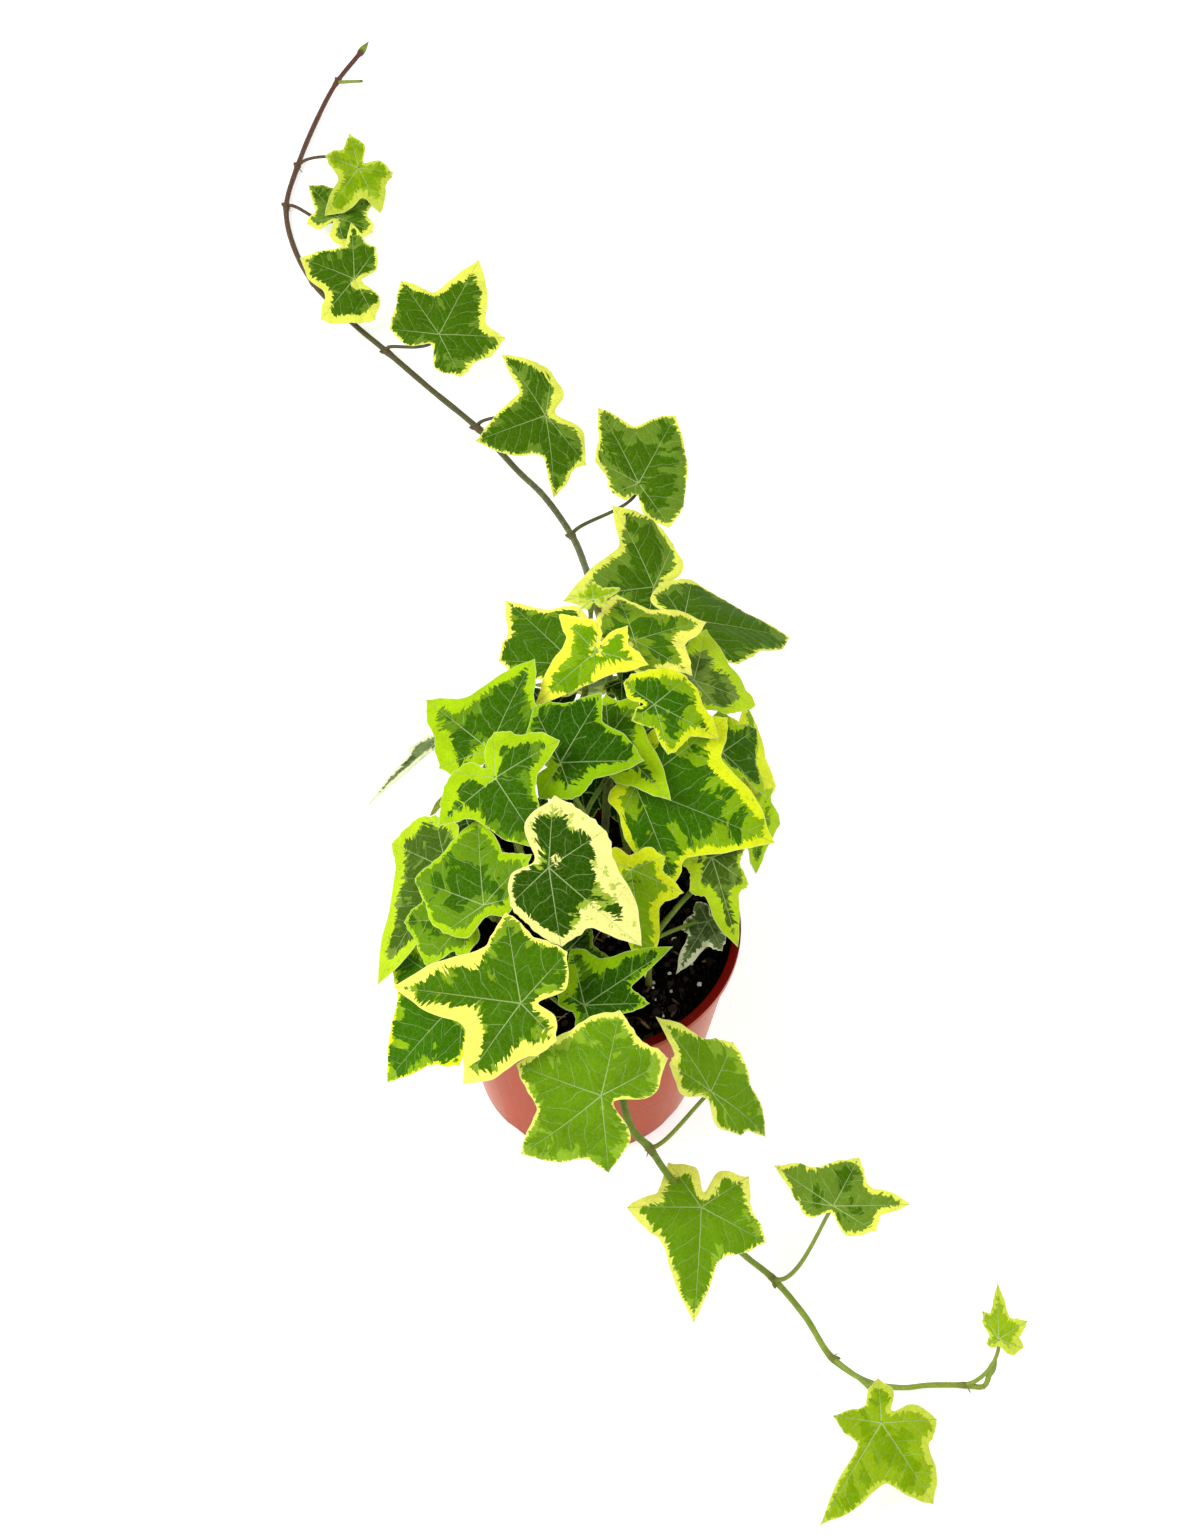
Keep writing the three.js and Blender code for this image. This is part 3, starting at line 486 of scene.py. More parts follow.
def centripetal(points, steps=16):
    """A smooth curve through points: a cubic between each pair, whose slopes come from the
    neighbours weighted by the square root of their distances."""
    p = np.vstack([2 * points[0] - points[1], points, 2 * points[-1] - points[-2]])
    d = np.sqrt(np.linalg.norm(np.diff(p, axis=0), axis=1))[:, None]
    before, span, after = d[:-2], d[1:-1], d[2:]
    p0, p1, p2, p3 = p[:-3], p[1:-2], p[2:-1], p[3:]
    start = span * ((p1 - p0) / before - (p2 - p0) / (before + span) + (p2 - p1) / span)
    end = span * ((p2 - p1) / span - (p3 - p1) / (span + after) + (p3 - p2) / after)
    t = np.linspace(0, 1, steps, endpoint=False)[None, :, None]
    a, b, s, e = p1[:, None], p2[:, None], start[:, None], end[:, None]
    cubic = a + s * t + (3 * (b - a) - 2 * s - e) * t**2 + (2 * (a - b) + s + e) * t**3
    return np.vstack([cubic.reshape(-1, 3), points[-1]])


def bezier(p0, p1, p2, p3, count):
    """Points on a cubic Bezier curve at equal steps of its parameter."""
    t = np.linspace(0, 1, count)[:, None]
    return (1 - t) ** 3 * p0 + 3 * (1 - t) ** 2 * t * p1 + 3 * (1 - t) * t**2 * p2 + t**3 * p3


def tube(path, radius, sides, age, knot):
    """A round closed tube along a path: each point plus the radius times cosine and sine of the
    angle along two directions square to the path. The ends close over a short cone."""
    along = unit(np.gradient(path, axis=0))
    guide = np.linalg.svd(along)[2][2]
    across = unit(guide - along * (along @ guide)[:, None])
    other = np.cross(along, across)
    angle = np.linspace(0, 2 * np.pi, sides, endpoint=False)
    rings = across[:, None] * np.cos(angle)[:, None] + other[:, None] * np.sin(angle)[:, None]
    grid = path[:, None] + rings * radius[:, None, None]
    ends = [path[0] - along[0] * radius[0] * 0.4, path[-1] + along[-1] * radius[-1] * 0.4]
    poles = [np.broadcast_to(e, (1, sides, 3)) for e in ends]
    grid = np.concatenate([poles[0], grid, poles[1]])[::-1]
    return closed(grid, age=tube_rows(age, sides), knot=tube_rows(knot, sides))[0]


def tube_rows(values, sides):
    """A value for each row of a tube as a grid, with the rows of the two poles beside them."""
    rows = np.concatenate([values[:1], values, values[-1:]])[::-1]
    return np.repeat(rows[:, None], sides, axis=1)


def stem_path(shoot):
    """The stem's centre line: straight out of the potting mix, then through its route."""
    route = shoot["route"]
    foot = route[0] + STRAIGHT * (route[1] - route[0])
    return centripetal(np.vstack([route[:1], foot, route[1:]]))


def stem_surfaces(shoot, dice):
    """The stem with a swelling at every petiole and, on a runner, a bud and short rootlets there.
    Its tone goes from that of the foot to that of the tip by a power of the way between."""
    dense = stem_path(shoot)
    length = np.linalg.norm(np.diff(dense, axis=0), axis=1).sum()
    count = max(30, int(length / STEM_STEP))
    path = resampled(dense, count)
    share = np.linspace(0, 1, count)
    start, end = shoot["radius"]
    starts = {spec["start"] for spec in shoot["leaves"]} | {stub[0] for stub in shoot["stubs"]}
    nodes = shoot["route"][sorted(starts)]
    gap = np.linalg.norm(path[:, None] - nodes[None], axis=2).min(axis=1)
    knot = np.exp(-((gap / KNOT_REACH) ** 2))
    bumps = SKIN_BUMPS * noise(share * length, share * 0, 3.0, 5)
    radius = (start + (end - start) * share) * (INTERNODE + SWELLING * knot + bumps)
    foot, tip, power = shoot["tones"][0]
    age = foot + (tip - foot) * share**power
    surfaces = [tube(path, radius, STEM_SIDES, age, knot)]
    for node in nodes[1:] if shoot["runner"] else []:
        step = np.argmin(np.linalg.norm(path[:-4] - node, axis=1))
        ahead = unit(path[step + 2] - path[step])
        surfaces.append(side_bud(path[step], ahead, radius[step], age[step], dice))
        for _ in range(dice.integers(2, 6)):
            surfaces.append(rootlet(path[step], dice))
    return surfaces


def side_bud(near, ahead, width, tone, dice):
    """A resting bud in the corner of a stalk: a short spindle that leans out from the stem."""
    turn = dice.choice([-1, 1])
    out = unit(ahead + 0.9 * turn * np.cross([0, 0, 1], ahead))
    t = np.linspace(0, 1, 9)
    path = near + out * (0.5 + t[:, None] * 2 * width)
    swell = 0.6 * width * np.sin(np.pi * (0.25 + 0.75 * t)) ** 0.8 + 0.08
    return tube(path, swell, 8, np.full(9, tone + 0.1), np.full(9, 0.5))


def rootlet(near, dice):
    """A short tapered aerial root: a bent line pointing down and sideways from the stem."""
    turn = dice.uniform(0, 2 * np.pi)
    reach = dice.uniform(*ROOTLET_REACH)
    out = np.array([np.cos(turn), np.sin(turn), dice.uniform(-0.9, 0.2)])
    t = np.linspace(0, 1, 6)[:, None]
    path = near + out * t * reach + np.array([0, 0, -0.5]) * t**2
    path[:, 2] = np.maximum(path[:, 2], 0.6)
    radius = ROOTLET_RADIUS - 0.24 * t[:, 0]
    return tube(path, radius, 5, np.full(6, 0.05), np.ones(6))


def petiole(shoot, spec):
    """The leaf stalk: a cubic curve that rises from the stem, or leaves along it on a runner, and
    meets the blade from below, a little swollen at both ends."""
    ahead, _, normal = leaf_axes(spec["turn"])
    route, number = shoot["route"], spec["start"]
    start = route[number]
    end = spec["at"] - GAP * normal
    span = np.linalg.norm(end - start)
    first = start + PETIOLE_LEAN * (end - start) + np.array([0, 0, PETIOLE_LIFT * span])
    if shoot["runner"]:
        onward = unit(route[number + 1] - start)
        first += PETIOLE_BOW * (start + PETIOLE_LEAN * span * onward - first)
    last = end - PETIOLE_HOOK * span * (ahead + normal)
    path = resampled(bezier(start, first, last, end, 40), max(14, int(span / PETIOLE_STEP)))
    share = np.linspace(0, 1, len(path))
    radius = PETIOLE_RADIUS + (PETIOLE_TIP - PETIOLE_RADIUS) * share
    radius += FOOT_SWELLING * np.exp(-((share / 0.06) ** 2))
    radius += HEAD_SWELLING * np.exp(-(((1 - share) / 0.05) ** 2))
    low, high = shoot["tones"][1]
    age = np.full(len(path), low + (high - low) * number / (len(route) - 1))
    return tube(path, radius, 8, age, 0.5 * np.exp(-((share / 0.05) ** 2)))


def stub_surface(shoot, number, tip):
    """A bare stalk whose leaf has fallen: a straight taper with a dark dry end."""
    root = shoot["route"][number]
    t = np.linspace(0, 1, 8)[:, None]
    path = root + (np.array(tip, float) - root) * t
    radius = STUB_RADIUS - 0.2 * t[:, 0]
    return tube(path, radius, 8, np.full(8, STUB_TONE), t[:, 0] ** 8)


def tip_bud(shoot):
    """The growing tip: a slim spindle that goes on from the end of the stem and turns green."""
    path = stem_path(shoot)
    ahead = unit(path[-1] - path[-2])
    t = np.linspace(0, 1, 12)
    width, tone = shoot["radius"][1], shoot["tones"][0][1]
    line = path[-1] + ahead * (t[:, None] * TIP_BUD_REACH * width - 0.5)
    line[:, 2] += 0.8 * t**2
    swell = width * (0.9 + 0.5 * np.sin(np.pi * t**0.8)) * (1 - t**2.5) + 0.08
    return tube(line, swell, 8, tone + (TIP_TONE - tone) * smooth_step(0, 0.4, t), 0 * t)


# ---------------------------------------------------------------- leaves


def leaf_axes(turn):
    """Ahead along the middle lobe, left across it and the normal of the upper face, from the
    heading, the rise and the roll."""
    heading, rise, roll = np.radians(turn)
    level = np.array([np.cos(heading), np.sin(heading), 0])
    ahead = level * np.cos(rise) + np.array([0, 0, np.sin(rise)])
    up = unit(np.array([0, 0, 1]) - ahead * ahead[2])
    normal = up * np.cos(roll) + np.cross(up, ahead) * np.sin(roll)
    return ahead, np.cross(normal, ahead), normal


def polar(degrees, reach):
    """A point of the blade from its angle and its distance from the junction."""
    return np.array([np.cos(np.radians(degrees)), np.sin(np.radians(degrees))]) * reach


def leaf_outline(lobes, dice):
    """The blade's margin, anticlockwise, and the number of the lobe that each step belongs to.

    Each half lobe runs straight from its tip to the bay, pushed outwards by a power of a sine
    that leaves the tip sharp. The bays are then rounded by averaging neighbours, and three sines
    of the way round let the margin wander.
    """
    order = np.argsort([lobe[0] for lobe in lobes])
    length = lobes[2][1]
    share = np.arange(LOBE_STEPS) / LOBE_STEPS
    bulges = iter(np.append(dice.uniform(*BULGE, 8), dice.uniform(*BASAL_BULGE, 2)))
    points, owners, hollows = [], [], []
    for k in range(5):
        here, there = order[k], order[(k + 1) % 5]
        angle_a, reach_a, *_ = lobes[here]
        angle_b, reach_b, *given = lobes[there]
        basal = k == 4
        angle_b += 360 if basal else 0
        depth = min(reach_a, reach_b) * max(DEEPEST_BAY, 1 - (angle_b - angle_a) / BAY_SPREAD)
        depth = BASAL_BAY * length if basal else depth
        bay = polar(*given) if given and not basal else polar((angle_a + angle_b) / 2, depth)
        for tip, u, lobe in (
            (polar(angle_a, reach_a), share, here),
            (polar(angle_b, reach_b), 1 - share, there),
        ):
            run = bay - tip
            out = np.array([run[1], -run[0]])
            out *= np.sign(out @ (tip + bay))
            beside = np.degrees(np.arccos(unit(tip) @ unit(bay)))
            push = min(1, beside / OPEN_BAY) * next(bulges) * np.sin(np.pi * u) ** BULGE_SHARPNESS
            points.append(tip + u[:, None] * run + push[:, None] * out)
            owners.append(np.full(LOBE_STEPS, lobe))
            hollows.append(smooth_step(0.62, 0.95, u) * (BASAL_ROUNDING if basal else 1))
    points, hollow = np.concatenate(points), np.concatenate(hollows)[:, None]
    for _ in range(ROUNDINGS):
        mean = (np.roll(points, 1, axis=0) + np.roll(points, -1, axis=0)) / 2
        points = points + 0.8 * hollow * (mean - points)
    turn = np.linspace(0, 2 * np.pi, len(points), endpoint=False)
    phases = dice.uniform(0, 2 * np.pi, 3)
    wander = sum(np.sin(k * turn + phase) for k, phase in zip((13, 21, 34), phases))
    points = points + MARGIN_WANDER * wander[:, None] * unit(points)
    return points, np.concatenate(owners)


def sag(flat, length, phase):
    """How far the blade's middle lies off its plane: it droops with the square of the distance,
    ripples three times round and folds up on both sides of the middle vein."""
    reach = np.linalg.norm(flat, axis=-1)
    angle = np.arctan2(flat[..., 1], flat[..., 0])
    bent = reach**2 / length * (RIPPLE * np.sin(RIPPLES * angle + phase) - DROOP)
    return bent + FOLD * np.abs(flat[..., 1]) * (1 - reach / (2 * length))


def margin_distance(points, outline):
    """Each point's distance to the nearest of the outline's straight pieces."""
    run = np.roll(outline, -1, axis=0) - outline
    offset = points[:, :, None] - outline
    share = np.clip((offset * run).sum(axis=-1) / (run * run).sum(axis=-1), 0, 1)
    return np.linalg.norm(offset - share[..., None] * run, axis=-1).min(axis=2)


def off_main_veins(flat, towards):
    """Each point's distance to the nearest line from the junction along a lobe's middle."""
    along = flat @ towards.T
    off = np.abs(flat[..., :1] * towards[:, 1] - flat[..., 1:] * towards[:, 0])
    return np.where(along > 0, off, np.linalg.norm(flat, axis=-1, keepdims=True)).min(axis=2)


def blade(spec, number):
    """A leaf blade: the margin scaled from the junction outwards over the upper face and back
    over the lower one, lifted by the sag, thin, grooved at the main veins, puffed up between them
    and waved at the margin."""
    lobes = spec["lobes"]
    seed = number * SEED_STEP
    outline, owners = leaf_outline(lobes, np.random.default_rng(number))
    half = np.append(np.linspace(0, 1, BLADE_ROWS)[:-1] ** 0.85, [EDGE_ROW, 1])
    rows = np.concatenate([half, half[::-1]])[:, None]
    side = np.repeat([1, -1], len(half))[:, None]
    flat = rows[..., None] * outline
    angles = np.radians([lobe[0] for lobe in lobes])
    towards = np.stack([np.cos(angles), np.sin(angles)], axis=-1)
    off = off_main_veins(flat, towards)
    edge = margin_distance(flat[: len(half)], outline)
    lift = sag(flat, lobes[2][1], spec["at"][0] + spec["at"][1])
    lift -= VEIN_GROOVE * np.exp(-((off / VEIN_HALF_WIDTH) ** 2)) * (1 - rows)
    lift += PUFF * (1 - np.exp(-((off / PUFF_WIDTH) ** 2))) * (1 - rows**2)
    around = np.arctan2(outline[:, 1], outline[:, 0])
    wave = np.sin(7 * around + seed) + 0.6 * np.sin(12 * around + 2 * seed)
    lift += MARGIN_WAVE * wave * rows**4
    height = lift + side * (BLADE + (RIM_BLADE - BLADE) * rows**3) / 2
    ahead, left, normal = leaf_axes(spec["turn"])
    grid = spec["at"] + flat[..., :1] * ahead + flat[..., 1:] * left + height[..., None] * normal
    surface, columns = closed(
        grid,
        edge=np.concatenate([edge, edge[::-1]]),
        under=np.repeat((side < 0) * 1.0, len(outline), axis=1),
    )
    colour_blade(surface, spec, number, per_vertex(flat), owners[columns], towards)
    return surface


def colour_blade(surface, spec, number, spots, owner, towards):
    """What the leaf's finish reads. Vein: the corner's place along and across the middle of the
    lobe that owns its face, and that lobe's reach. Habit: the margin's width, which leans to one
    side by the cosine of the angle from it, the share of deep green and the mottling."""
    palette, width, deep, *widest = spec["colouring"]
    *colours, mottling = PALETTES[palette]
    place, main = spots[surface.corners], towards[owner]
    across = main[:, 0] * place[:, 1] - main[:, 1] * place[:, 0]
    reach = np.array([lobe[1] for lobe in spec["lobes"]])[owner]
    surface.at_corners["vein"] = np.column_stack([(place * main).sum(axis=1), across, reach])
    same = np.ones(len(spots))
    for name, colour in zip(("margin", "mid", "deep"), colours):
        surface.points[name] = np.tile(linear(colour), (len(spots), 1))
    angle = np.arctan2(spots[:, 1], spots[:, 0])
    widest = np.radians(widest[0] if widest else GOLDEN_ANGLE * number)
    lean = 1 + MARGIN_LEAN * np.cos(angle - widest)
    surface.points["habit"] = np.column_stack([width * lean, deep * same, mottling * same])
    surface.points["place"] = np.column_stack([spots, number * SEED_STEP * same])


def linear(colour):
    """Screen colour from 0 to 255 as scene light: the curve of the screen undone."""
    c = np.array(colour) / 255
    return np.where(c <= 0.04045, c / 12.92, ((c + 0.055) / 1.055) ** 2.4)


# ---------------------------------------------------------------- finishes


class Term:
    """One socket of a finish. Arithmetic on it, with numbers or other terms, adds Math nodes."""

    def __init__(self, finish, socket):
        self.finish = finish
        self.socket = socket

    def math(self, operation, *terms, clamp=False):
        settings = {"operation": operation, "use_clamp": clamp}
        return self.finish.node("ShaderNodeMath", settings, dict(enumerate(terms)))

    def __add__(self, other):
        return self.math("ADD", self, other)

    def __radd__(self, other):
        return self.math("ADD", other, self)

    def __sub__(self, other):
        return self.math("SUBTRACT", self, other)

    def __rsub__(self, other):
        return self.math("SUBTRACT", other, self)

    def __mul__(self, other):
        return self.math("MULTIPLY", self, other)

    def __rmul__(self, other):
        return self.math("MULTIPLY", other, self)

    def __truediv__(self, other):
        return self.math("DIVIDE", self, other)

    def __abs__(self):
        return self.math("ABSOLUTE", self)

    def clamped(self):
        """The value held between 0 and 1."""
        return self.math("ADD", self, 0, clamp=True)

    def fraction(self):
        """What is left above the whole number below the value."""
        return self.math("FRACT", self)

    def cosine(self):
        """The cosine of an angle in radians."""
        return self.math("COSINE", self)

    def above(self, level):
        """1 where the value is above the level, else 0."""
        return self.math("GREATER_THAN", self, level)


class Finish:
    """A material whose nodes are written as expressions. Lengths in it are in millimetres."""

    def __init__(self, name, constants):
        self.material = bpy.data.materials.new(name)
        self.material.use_nodes = True
        self.tree = self.material.node_tree
        self.shader = self.tree.nodes["Principled BSDF"]
        self.set({"IOR": 1.45} | constants)

    def set(self, sockets):
        """Values or terms for the shader's sockets."""
        for key, value in sockets.items():
            self.feed(self.shader.inputs[key], value)

    def feed(self, socket, value):
        """A term is linked to the socket, and anything else is its constant."""
        if isinstance(value, Term):
            self.tree.links.new(value.socket, socket)
        else:
            socket.default_value = value

    def node(self, kind, settings, sockets, out=0):
        """A node with its settings, a ramp's stops among them, and its sockets fed."""
        node = self.tree.nodes.new(kind)
        for key, value in settings.items():
            if key == "stops":
                self.stops(node.color_ramp.elements, value)
            else:
                setattr(node, key, value)
        for key, value in sockets.items():
            self.feed(node.inputs[key], value)
        return Term(self, node.outputs[out])

    def stops(self, elements, stops):
        """The stops of a ramp: a position and a screen colour each."""
        while len(elements) < len(stops):
            elements.new(1)
        for element, (position, colour) in zip(elements, stops):
            element.position = position
            element.color = rgba(colour)

    def value(self, name):
        """A number that the piece carries at its points."""
        return self.node("ShaderNodeAttribute", {"attribute_name": name}, {}, out="Fac")

    def vector(self, name):
        """A vector or colour that the piece carries at its points or corners."""
        return self.node("ShaderNodeAttribute", {"attribute_name": name}, {}, out="Vector")

    def split(self, vector):
        """The three numbers of a vector."""
        return [self.node("ShaderNodeSeparateXYZ", {}, {0: vector}, out=k) for k in range(3)]

    def combined(self, x, y, z):
        """A vector from three numbers."""
        return self.node("ShaderNodeCombineXYZ", {}, {0: x, 1: y, 2: z})

    def place(self, *stretch):
        """Object coordinates in mm, times a stretch along each axis."""
        at = self.node("ShaderNodeTexCoord", {}, {}, out="Object")
        scale = tuple(1000 * s for s in (stretch or (1, 1, 1)))
        return self.node("ShaderNodeVectorMath", {"operation": "MULTIPLY"}, {0: at, 1: scale})

    def cloud(self, at, size, detail=2, roughness=0.5):
        """Smooth noise about 0, from about -0.3 to 0.3, with lumps of the size."""
        sockets = {"Vector": at, "Scale": 1 / size, "Detail": detail, "Roughness": roughness}
        return self.node("ShaderNodeTexNoise", {}, sockets) - 0.5

    def cells(self, at, size):
        """Distance to the nearest wall between random cells, as a share of the size."""
        settings = {"feature": "DISTANCE_TO_EDGE"}
        sockets = {"Vector": at, "Scale": 1 / size}
        return self.node("ShaderNodeTexVoronoi", settings, sockets)

    def mixed(self, factor, first, second):
        """The first colour turned into the second by the factor."""
        settings = {"data_type": "RGBA", "clamp_factor": True}
        return self.node("ShaderNodeMix", settings, {0: factor, 6: first, 7: second}, out=2)

    def shaded(self, colour, factor):
        """A colour made lighter or darker by the factor."""
        sockets = {0: colour, "Scale": factor}
        return self.node("ShaderNodeVectorMath", {"operation": "SCALE"}, sockets)

    def ramp(self, value, *stops):
        """A colour picked from the stops by the value."""
        return self.node("ShaderNodeValToRGB", {"stops": stops}, {0: value})

    def finished(self, colour, roughness, height, strength=1.0):
        """The material with its colour, its roughness and the shading of a height in mm."""
        sockets = {"Strength": strength, "Distance": MM, "Height": height}
        normal = self.node("ShaderNodeBump", {}, sockets, out="Normal")
        self.set({"Base Color": colour, "Roughness": roughness, "Normal": normal})
        return self.material


def rgba(colour):
    """Screen colour from 0 to 255 as an opaque colour in scene light."""
    return (*linear(colour), 1)


VEIN_COLOUR = (204, 230, 150)
RIM_COLOUR = (240, 244, 190)
UNDERSIDE_COLOUR = (158, 184, 108)
BRANCH_SPACING = 6.6


def leaf_finish():
    """Variegated leaf. The margin's pale band ends in ragged teeth that run along the side veins,
    mid and deep green alternate inside it in streaks the same way, and pale veins run over both."""
    f = Finish("ivy_leaf", {"Specular IOR Level": 0.012})
    along, across, reach = f.split(f.vector("vein"))
    x, y, seed = f.split(f.vector("place"))
    width, share, mottling = f.split(f.vector("habit"))
    edge, under = f.value("edge"), f.value("under")
    side = abs(across)

    flat = f.combined(x, y, seed * 50)
    wander = f.cloud(flat, 11)
    slant = along - 0.75 * side + 7 * wander
    streaks = f.combined(slant * 4, x, y + seed * 50)
    streak = f.cloud(streaks, 6, detail=3, roughness=0.6)
    spread = 1 + 2.6 * f.cloud(flat, 13) + 3 * f.cloud(flat, 34)
    band = width * spread + (5 + 0.8 * width) * streak
    inner = ((edge - band) / 0.25 + 0.5).clamped()
    patches = f.cloud(f.combined(slant * 1.6, x, y + seed * 70), 14, detail=4, roughness=0.6)
    depth = share - 0.75 + 3.2 * patches + (edge - band) / 16
    deep = (depth / 0.1 + 0.5).clamped()

    taper = (1 - along / reach).clamped()
    main = (1.25 - side / (0.07 + 0.24 * taper)).clamped() * along.above(0)
    steps = slant / BRANCH_SPACING + 0.4 * across.above(0)
    offset = abs(steps.fraction() - 0.5) * BRANCH_SPACING
    branch = (1.2 - offset / 0.2).clamped() * (edge / 3).clamped() * (side / 0.5).clamped()
    net = (1 - f.cells(flat, 2.4) / 0.07).clamped()

    specks = (f.cloud(flat, 2.6, detail=4, roughness=0.6) + 0.35 * (mottling - 0.8)) / 0.05
    specks = specks.clamped() * (edge / 1.2 - 0.5).clamped()
    pale_band = f.mixed(0.7 * specks, f.vector("margin"), f.vector("mid"))
    green = f.mixed(deep, f.vector("mid"), f.vector("deep"))
    colour = f.mixed(inner, pale_band, green)
    fine = f.cloud(flat, 0.9, detail=3)
    # A fine mottle, and painted shade over broad patches for lobes lit unevenly by their curves.
    colour = f.shaded(colour, 1 + 0.5 * fine + 0.5 * wander)
    veins = 0.62 * main + (0.26 * branch + 0.06 * net) * inner
    colour = f.mixed(veins, colour, rgba(VEIN_COLOUR))
    colour = f.mixed(0.5 * (1 - edge / 0.35).clamped(), colour, rgba(RIM_COLOUR))
    colour = f.mixed(0.55 * under, colour, rgba(UNDERSIDE_COLOUR))

    quilt = (steps * (2 * np.pi)).cosine() * (1 - (side / 14).clamped())
    height = 0.2 * quilt - 0.3 * main - 0.14 * branch - 0.05 * net + 0.2 * fine
    return f.finished(colour, 0.42 + 0.25 * fine + 0.12 * under, height, 0.7)


# Stops of the stem's ramp, from the corky foot through green and olive to the red-brown tip.
STEM_COLOURS = (
    (0.0, (112, 84, 54)),
    (0.22, (140, 162, 52)),
    (0.42, (104, 130, 24)),
    (0.6, (74, 78, 36)),
    (0.8, (96, 62, 48)),
    (1.0, (100, 50, 42)),
)
KNOT_COLOUR = (94, 66, 42)
PORE_COLOUR = (176, 168, 120)


def stem_finish():
    """Stem and stalk skin: a ramp by its tone, blotched, darker and drier at the knots, with a fine
    grain and small pale pores."""
    f = Finish("ivy_stem", {"Specular IOR Level": 0.3})
    tone, knot = f.value("age"), f.value("knot")
    at = f.place()
    blotch = f.cloud(at, 4, detail=3)
    skin = f.ramp(tone + 0.35 * blotch, *STEM_COLOURS)
    skin = f.mixed(0.6 * knot, skin, rgba(KNOT_COLOUR))
    pores = (1 - f.cells(at, 1.3) / 0.12).clamped()
    fine = f.cloud(at, 0.5, detail=3)
    skin = f.mixed(0.16 * pores, skin, rgba(PORE_COLOUR))
    skin = f.shaded(skin, 1 + 0.9 * fine)
    height = 0.2 * fine + 0.08 * pores + 0.3 * knot * blotch
    return f.finished(skin, 0.5 + 0.3 * fine + 0.2 * knot, height)


TERRACOTTA = (178, 82, 56)
# Painted sheen: a paler terracotta for the pot's left and right sides.
PAINTED_SHEEN_TERRACOTTA = (226, 178, 160)
# Painted shade: a deep red for the lip and the inside of the pot.
PAINTED_SHADE_RED = (108, 14, 6)
DUST_COLOUR = (120, 84, 64)


def pot_finish():
    """Moulded terracotta-coloured plastic: pale outside, painted paler towards its left and right
    sides as a sheen and painted deep red on the lip and inside as shade, with faint clouding,
    turning rings, dust and an eggshell skin."""
    f = Finish("pot_plastic", {"Specular IOR Level": 0.02})
    at = f.place()
    cloudy = f.cloud(at, 22, detail=4)
    rings = f.cloud(f.place(0.03, 0.03, 1), 1.4)
    skin = f.cloud(at, 0.7)
    dust = f.cloud(at, 1.5, detail=4, roughness=0.7)
    speck = ((dust - 0.16) / 0.04).clamped()
    x, y, z = f.split(at)
    flat = f.combined(x, y, 0)
    radius = f.node("ShaderNodeVectorMath", {"operation": "LENGTH"}, {0: flat}, out=1)
    wall = BASE_RADIUS + (inner_radius(POT_HEIGHT) + WALL - BASE_RADIUS) / POT_HEIGHT * z
    outside = (radius - wall + 0.9).clamped().above(0.5) * (POT_HEIGHT - 0.9 - z).above(0)
    # Painted sheen: the terracotta made paler towards the left and right sides.
    painted_sheen = ((abs(x) / wall - 0.5) / 0.5).clamped()
    terracotta = f.mixed(0.7 * painted_sheen * painted_sheen, rgba(TERRACOTTA), rgba(PAINTED_SHEEN_TERRACOTTA))
    # Painted shade: deep red on the lip and inside, the terracotta only on the outside wall.
    colour = f.mixed(outside, rgba(PAINTED_SHADE_RED), terracotta)
    colour = f.shaded(colour, 1 + 0.5 * cloudy + 0.12 * rings + 0.2 * dust)
    colour = f.mixed(0.22 * speck, colour, rgba(DUST_COLOUR))
    return f.finished(colour, 0.34 + 0.3 * cloudy + 0.4 * dust, 0.05 * skin + 0.06 * rings)


def soil_finish():
    """Moist peat: near black, with brown fibres and a fine crumb."""
    f = Finish("peat", {"Specular IOR Level": 0.02})
    at = f.place()
    lumps = f.cloud(at, 3.5, detail=5, roughness=0.65)
    fibre = f.cloud(f.place(1, 0.2, 1), 0.9, detail=3)
    strand = ((fibre - 0.12) / 0.05).clamped()
    colour = f.ramp(0.5 + 1.6 * lumps, (0.1, (2, 1, 1)), (0.6, (9, 6, 4)), (1.0, (34, 23, 15)))
    colour = f.mixed(0.35 * strand, colour, rgba((94, 64, 42)))
    crumb = f.cloud(at, 0.8, detail=4, roughness=0.7)
    return f.finished(colour, 0.85 + 0.4 * crumb, 1.2 * crumb + 0.8 * lumps)


def grain_finish(name, dark, pale, bumpy):
    """Loose grains: each its own tint between two colours, with a rough crumb."""
    f = Finish(name, {"Specular IOR Level": 0.3})
    tint = f.value("tint")
    crumb = f.cloud(f.place(), 0.8, detail=3, roughness=0.6)
    colour = f.mixed(tint + 0.8 * crumb, rgba(dark), rgba(pale))
    return f.finished(colour, 0.8 + 0.4 * crumb, bumpy * crumb)


# ---------------------------------------------------------------- pot and potting mix


def inner_radius(z):
    """The inner wall's radius, which grows in a straight line from the floor to the lip."""
    low, high = BASE_RADIUS - WALL, LIP_INSIDE
    return low + (z - FLOOR) * (high - low) / (UNDER_LIP - FLOOR)


def rounded(corners, steps=4):
    """A profile with each corner replaced by a quadratic curve that starts and ends at its radius
    from the corner. A corner is (radius, height, rounding)."""
    corners = [np.array(c, float) for c in corners]
    t = np.linspace(0, 1, steps)[:, None]
    points = [corners[0][None, :2]]
    for before, here, after in zip(corners, corners[1:], corners[2:]):
        corner, size = here[:2], here[2]
        a = corner + unit(before[:2] - corner) * size
        b = corner + unit(after[:2] - corner) * size
        points.append((1 - t) ** 2 * a + 2 * t * (1 - t) * corner + t**2 * b)
    points.append(corners[-1][None, :2])
    return np.concatenate(points)


def turned(profile, columns):
    """A surface of revolution: every point of the profile carried round the upright axis."""
    angle = np.linspace(0, 2 * np.pi, columns, endpoint=False)
    radius, height = profile[:, :1], profile[:, 1:]
    return np.stack([radius * np.cos(angle), radius * np.sin(angle), height + 0 * angle], axis=-1)


